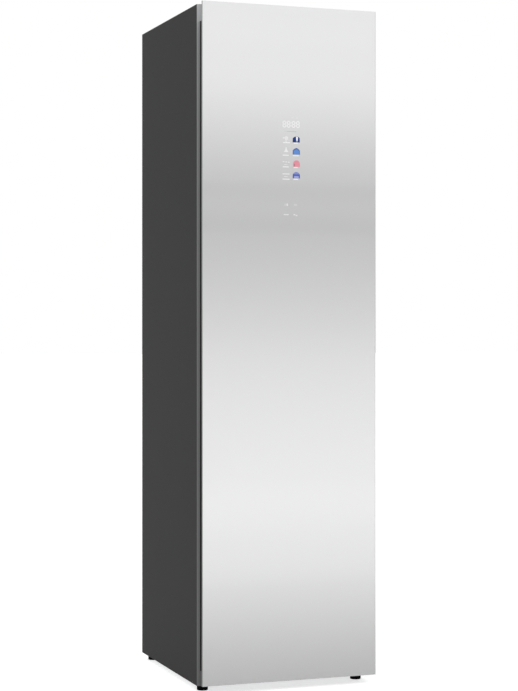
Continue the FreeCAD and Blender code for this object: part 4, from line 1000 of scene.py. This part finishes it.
# Garment marks row by row: name, tone, depth behind the front, outlines above the row's foot.
GARMENTS = (
    (("mark_jacket", "lit_navy", 0,
      ((6.2, -0.4), (6.7, 8), (7.6, 11.6), (10.2, 13.4), (14.6, 15.6), (16.2, 14), (16.8, 5), (16.8, -0.4)),
      ((21.2, -0.4), (21.2, 5), (21.9, 13), (22.6, 15.2), (25.2, 13.4), (26.9, 10.6), (27.3, -0.4))),
     ("mark_jacket_collar", "lit_dusk_violet", 0,
      ((15.6, 15.4), (15.0, 16.2), (18.6, 17.0), (22.2, 15.8), (21.6, 14.4), (18.6, 14.6))),
     ("mark_jacket_shirt", "lit_shirt_white", 0,
      ((17.0, 4.4), (16.5, 13.4), (15.9, 15.2), (18.6, 14.4), (21.7, 14.2), (21.6, 13), (21.0, 4.4))),
     ("mark_jacket_tie", "lit_pale_blue", 0, ((17.2, -0.3), (17.0, 4.2), (21.0, 4.2), (21.0, -0.3)))),
    (("mark_folded_shirt", "lit_deep_blue", UNDER,
      ((6.4, 0), (6.6, 10.6), (9.6, 14.2), (15.0, 17.4), (17.2, 18.0), (19.6, 17.4), (24.8, 14.2), (27.6, 10.6),
       (27.9, 0))),
     ("mark_folded_shirt_front", "lit_mid_blue", 0,
      ((9.4, 0.4), (9.6, 9.6), (13.0, 12.4), (17.2, 14.4), (21.6, 12.4), (25.6, 9.8), (26.2, 0.4)))),
    (("mark_child_top", "lit_rose", UNDER,
      ((7.4, 0), (7.4, 8.6), (9.0, 13.2), (12.0, 16.2), (15.4, 17.8), (20.0, 17.8), (23.4, 16.2), (26.2, 13.2),
       (27.5, 8.6), (27.5, 0))),
     ("mark_child_top_fold", "lit_deep_rose", 0, ((9.6, 1.0), (9.8, 6.6), (12.6, 9.4), (13.6, 1.0)))),
    (("mark_sports_top", "lit_blue_violet", UNDER, ((6.4, 0), (6.7, 11.2), (27.5, 11.2), (27.9, 0))),
     ("mark_sports_top_shoulders", "lit_hazy_violet", 0,
      ((7.0, 11.4), (9.8, 14.6), (15.0, 17.4), (19.2, 17.4), (24.4, 14.6), (27.2, 11.4))),
     ("mark_sports_top_front", "lit_lilac", 0, ((10.6, 0.2), (10.9, 6.4), (23.8, 6.4), (24.2, 0.2)))))
# Programme marks row by row, above the row's foot.
STEAM = ((-21.8, 8.4, 13), (-18.6, 8.6, 12.6), (-15.4, 3.6, 15), (-12.2, 3.2, 15.6), (-9, 6, 14.6))
PROGRAMMES = (
    [bar((x, x + 2.3), (foot, top), 1) for x, foot, top in STEAM] + [bar((-15.4, -9.8), (-0.4, 1.2), 0.6)],
    [[(-19, 6), (-14.6, 13), (-13.4, 19), (-11.4, 19), (-10.2, 13), (-5.6, 6)]],
    [bar((-22.4, -17), (12, 14.4), 1), bar((-15, -9.6), (11.4, 13.8), 1),
     bar((-7.6, -2.2), (10.8, 13.2), 1), bar((-18, -8), (5, 6.2), 0.5)],
    [bar((-23, -2.4), (10, 12.4), 1), bar((-18.6, -7.4), (3.4, 4.6), 0.5)])
# The display's other bars, and the touch keys: name, tone, outlines.
BARS = (
    ("display_colon", "lit_faint_white", bar((1, 2.8), (1526, 1528), 0.6), bar((1, 2.8), (1533.4, 1535.4), 0.6)),
    ("display_teal_line", "lit_teal", bar((-10.5, 17.5), (1509.6, 1511.4), 0.7)),
    ("display_teal_ends", "lit_pale_teal", bar((-18.5, -11.3), (1509.9, 1511.1), 0.5),
     bar((18.3, 22.6), (1509.9, 1511.1), 0.5)),
    ("display_top_marks", "lit_dim_white", bar((3.2, 9.4), (1546.4, 1549.2), 1.2),
     bar((16.8, 21.6), (1545.4, 1550.4), 1.4)))
TOUCH_KEYS = (
    ("touch_key_marks", "touch_key_grey", bar((-17.5, -12.3), (1309.2, 1315), 1.2),
     bar((10, 19.6), (1309.4, 1315.2), 1.8)),
    ("touch_key_lights", "touch_key_white", bar((-11.4, -7), (1308.8, 1315.8), 1.2),
     bar((-19.5, -4.9), (1283.8, 1287), 1.3), bar((8.6, 14.6), (1283.8, 1287.4), 1.3),
     bar((15, 20.4), (1282, 1285.4), 1.3)))

DIGIT_X, DIGIT_Z = (-17.4, -5.2, 9.0, 21.6), 1522.2
DIGIT_WIDTH, DIGIT_HEIGHT, STROKE = 7.8, 15.8, 2.6


def segment(low, high, at):
    """A stretched hexagon along one line of a digit."""
    half = STROKE / 2
    low, high = low + 0.45 + half, high - 0.45 - half
    return [(low, at - half), (low - half, at), (low, at + half), (high, at + half), (high + half, at),
            (high, at - half)]


def digit(x, z):
    """The seven lit segments of an eight, from its lower left corner."""
    right, half_up, top = x + DIGIT_WIDTH, z + DIGIT_HEIGHT / 2, z + DIGIT_HEIGHT
    upright = [segment(*span, at) for at in (x, right) for span in ((z, half_up), (half_up, top))]
    return [segment(x, right, at) for at in (z, half_up, top)] + [[(q, p) for p, q in line] for line in upright]


def lifted(outline, z):
    return [(x, z + up) for x, up in outline]


def films(name, tone, *outlines, behind=0.0):
    """Flat marks on the glass; the ones that others lie on are set behind by a hair."""
    marks = Shape()
    for outline in outlines:
        marks.prism(outline, GLASS_FACE + behind, GLASS_FACE + FILM)
    marks.piece(name, "door", "silver_glass", LIT[tone])


def make_display():
    """Clock, garment and programme marks, captions and touch keys, each a thin film."""
    digits = [outline for at in DIGIT_X for outline in digit(at - DIGIT_WIDTH / 2, DIGIT_Z)]
    films("display_digits", "lit_digit_white", *digits)
    for row in BARS:
        films(*row)
    for z, garments in zip(ROWS, GARMENTS):
        for name, tone, behind, *outlines in garments:
            films(name, tone, *[lifted(outline, z) for outline in outlines], behind=behind)
    films("display_captions", "lit_white", *[bar(x, about(z, 1.4), 1) for z, x in CAPTIONS])
    programmes = [lifted(outline, z) for z, marks in zip(ROWS, PROGRAMMES) for outline in marks]
    films("display_programme_marks", "lit_faint_white", *programmes)
    for row in TOUCH_KEYS:
        films(*row)


# ---- stage, light and camera
AMBIENT = 0.62              # light of the surroundings; rays that see them meet a white of 1
FLOOR_SEEN, FLOOR_MIRRORED = 0.65, 0.42
FLOOR_REACH = 60.0
# Name, direction, strength and angular width in degrees of each soft lamp.
SUNS = (("front_left_lamp", (-3.0, -4.0, 4.0), 0.8, 50), ("front_right_lamp", (4.5, -5.0, 3.0), 0.5, 60))


def make_stage():
    """Pale floor that keeps the object's shadow, under a white surround."""
    floor = bpy.data.meshes.new("studio_floor")
    corners = [(x * FLOOR_REACH, y * FLOOR_REACH, 0) for x, y in ((-1, -1), (1, -1), (1, 1), (-1, 1))]
    floor.from_pydata(corners, [], [(0, 1, 2, 3)])
    paint = Finish("studio_floor_paint", {SPECULAR: 0.0, "Roughness": 0.9, "Base Color": even(0.8),
                                          "Emission Strength": 1.0})
    glow = paint.mix(paint.ray("Glossy").most(paint.ray("Transmission")), even(0), even(FLOOR_MIRRORED))
    paint.feed({"Emission Color": paint.mix(paint.ray("Camera"), glow, even(FLOOR_SEEN))})
    floor.materials.append(paint.owner)
    placed("studio_floor", floor)

    world = bpy.data.worlds.new("studio")
    bpy.context.scene.world = world
    surround = Graph(world, "Background", {"Color": even(1.0)})
    seen = surround.ray("Camera").most(surround.ray("Glossy")).most(surround.ray("Transmission"))
    surround.feed({"Strength": AMBIENT + (1 - AMBIENT) * seen})


def make_lamps():
    for name, towards, strength, width in SUNS:
        lamp = bpy.data.lights.new(name, "SUN")
        lamp.energy = strength
        lamp.angle = math.radians(width)
        made = placed(name, lamp)
        made.rotation_euler = Vector(towards).to_track_quat("Z", "Y").to_euler()
        made.visible_glossy = False


def make_camera():
    """Level camera off the cabinet's left front, its lines upright."""
    lens = bpy.data.cameras.new("camera")
    lens.lens = 92.4
    lens.sensor_width = 36.0
    lens.shift_y = -0.0246
    lens.clip_end = 200.0
    made = placed("camera", lens)
    made.location = (-1.7095, -4.7745, 0.9773)
    made.rotation_euler = Vector((-0.3394, -0.9407, 0)).to_track_quat("Z", "Y").to_euler()
    bpy.context.scene.camera = made


for make in (make_camera, make_stage, make_lamps, dress_nodes, make_door_glass, make_grip_lining, make_edge_lip,
             make_display, make_gasket, make_inner_door, make_chamber, make_filter_mesh, make_rail_trim, make_hangers,
             make_tank_trim, make_feet, make_screws, make_rear):
    make()

bpy.context.scene.view_settings.view_transform = "Standard"
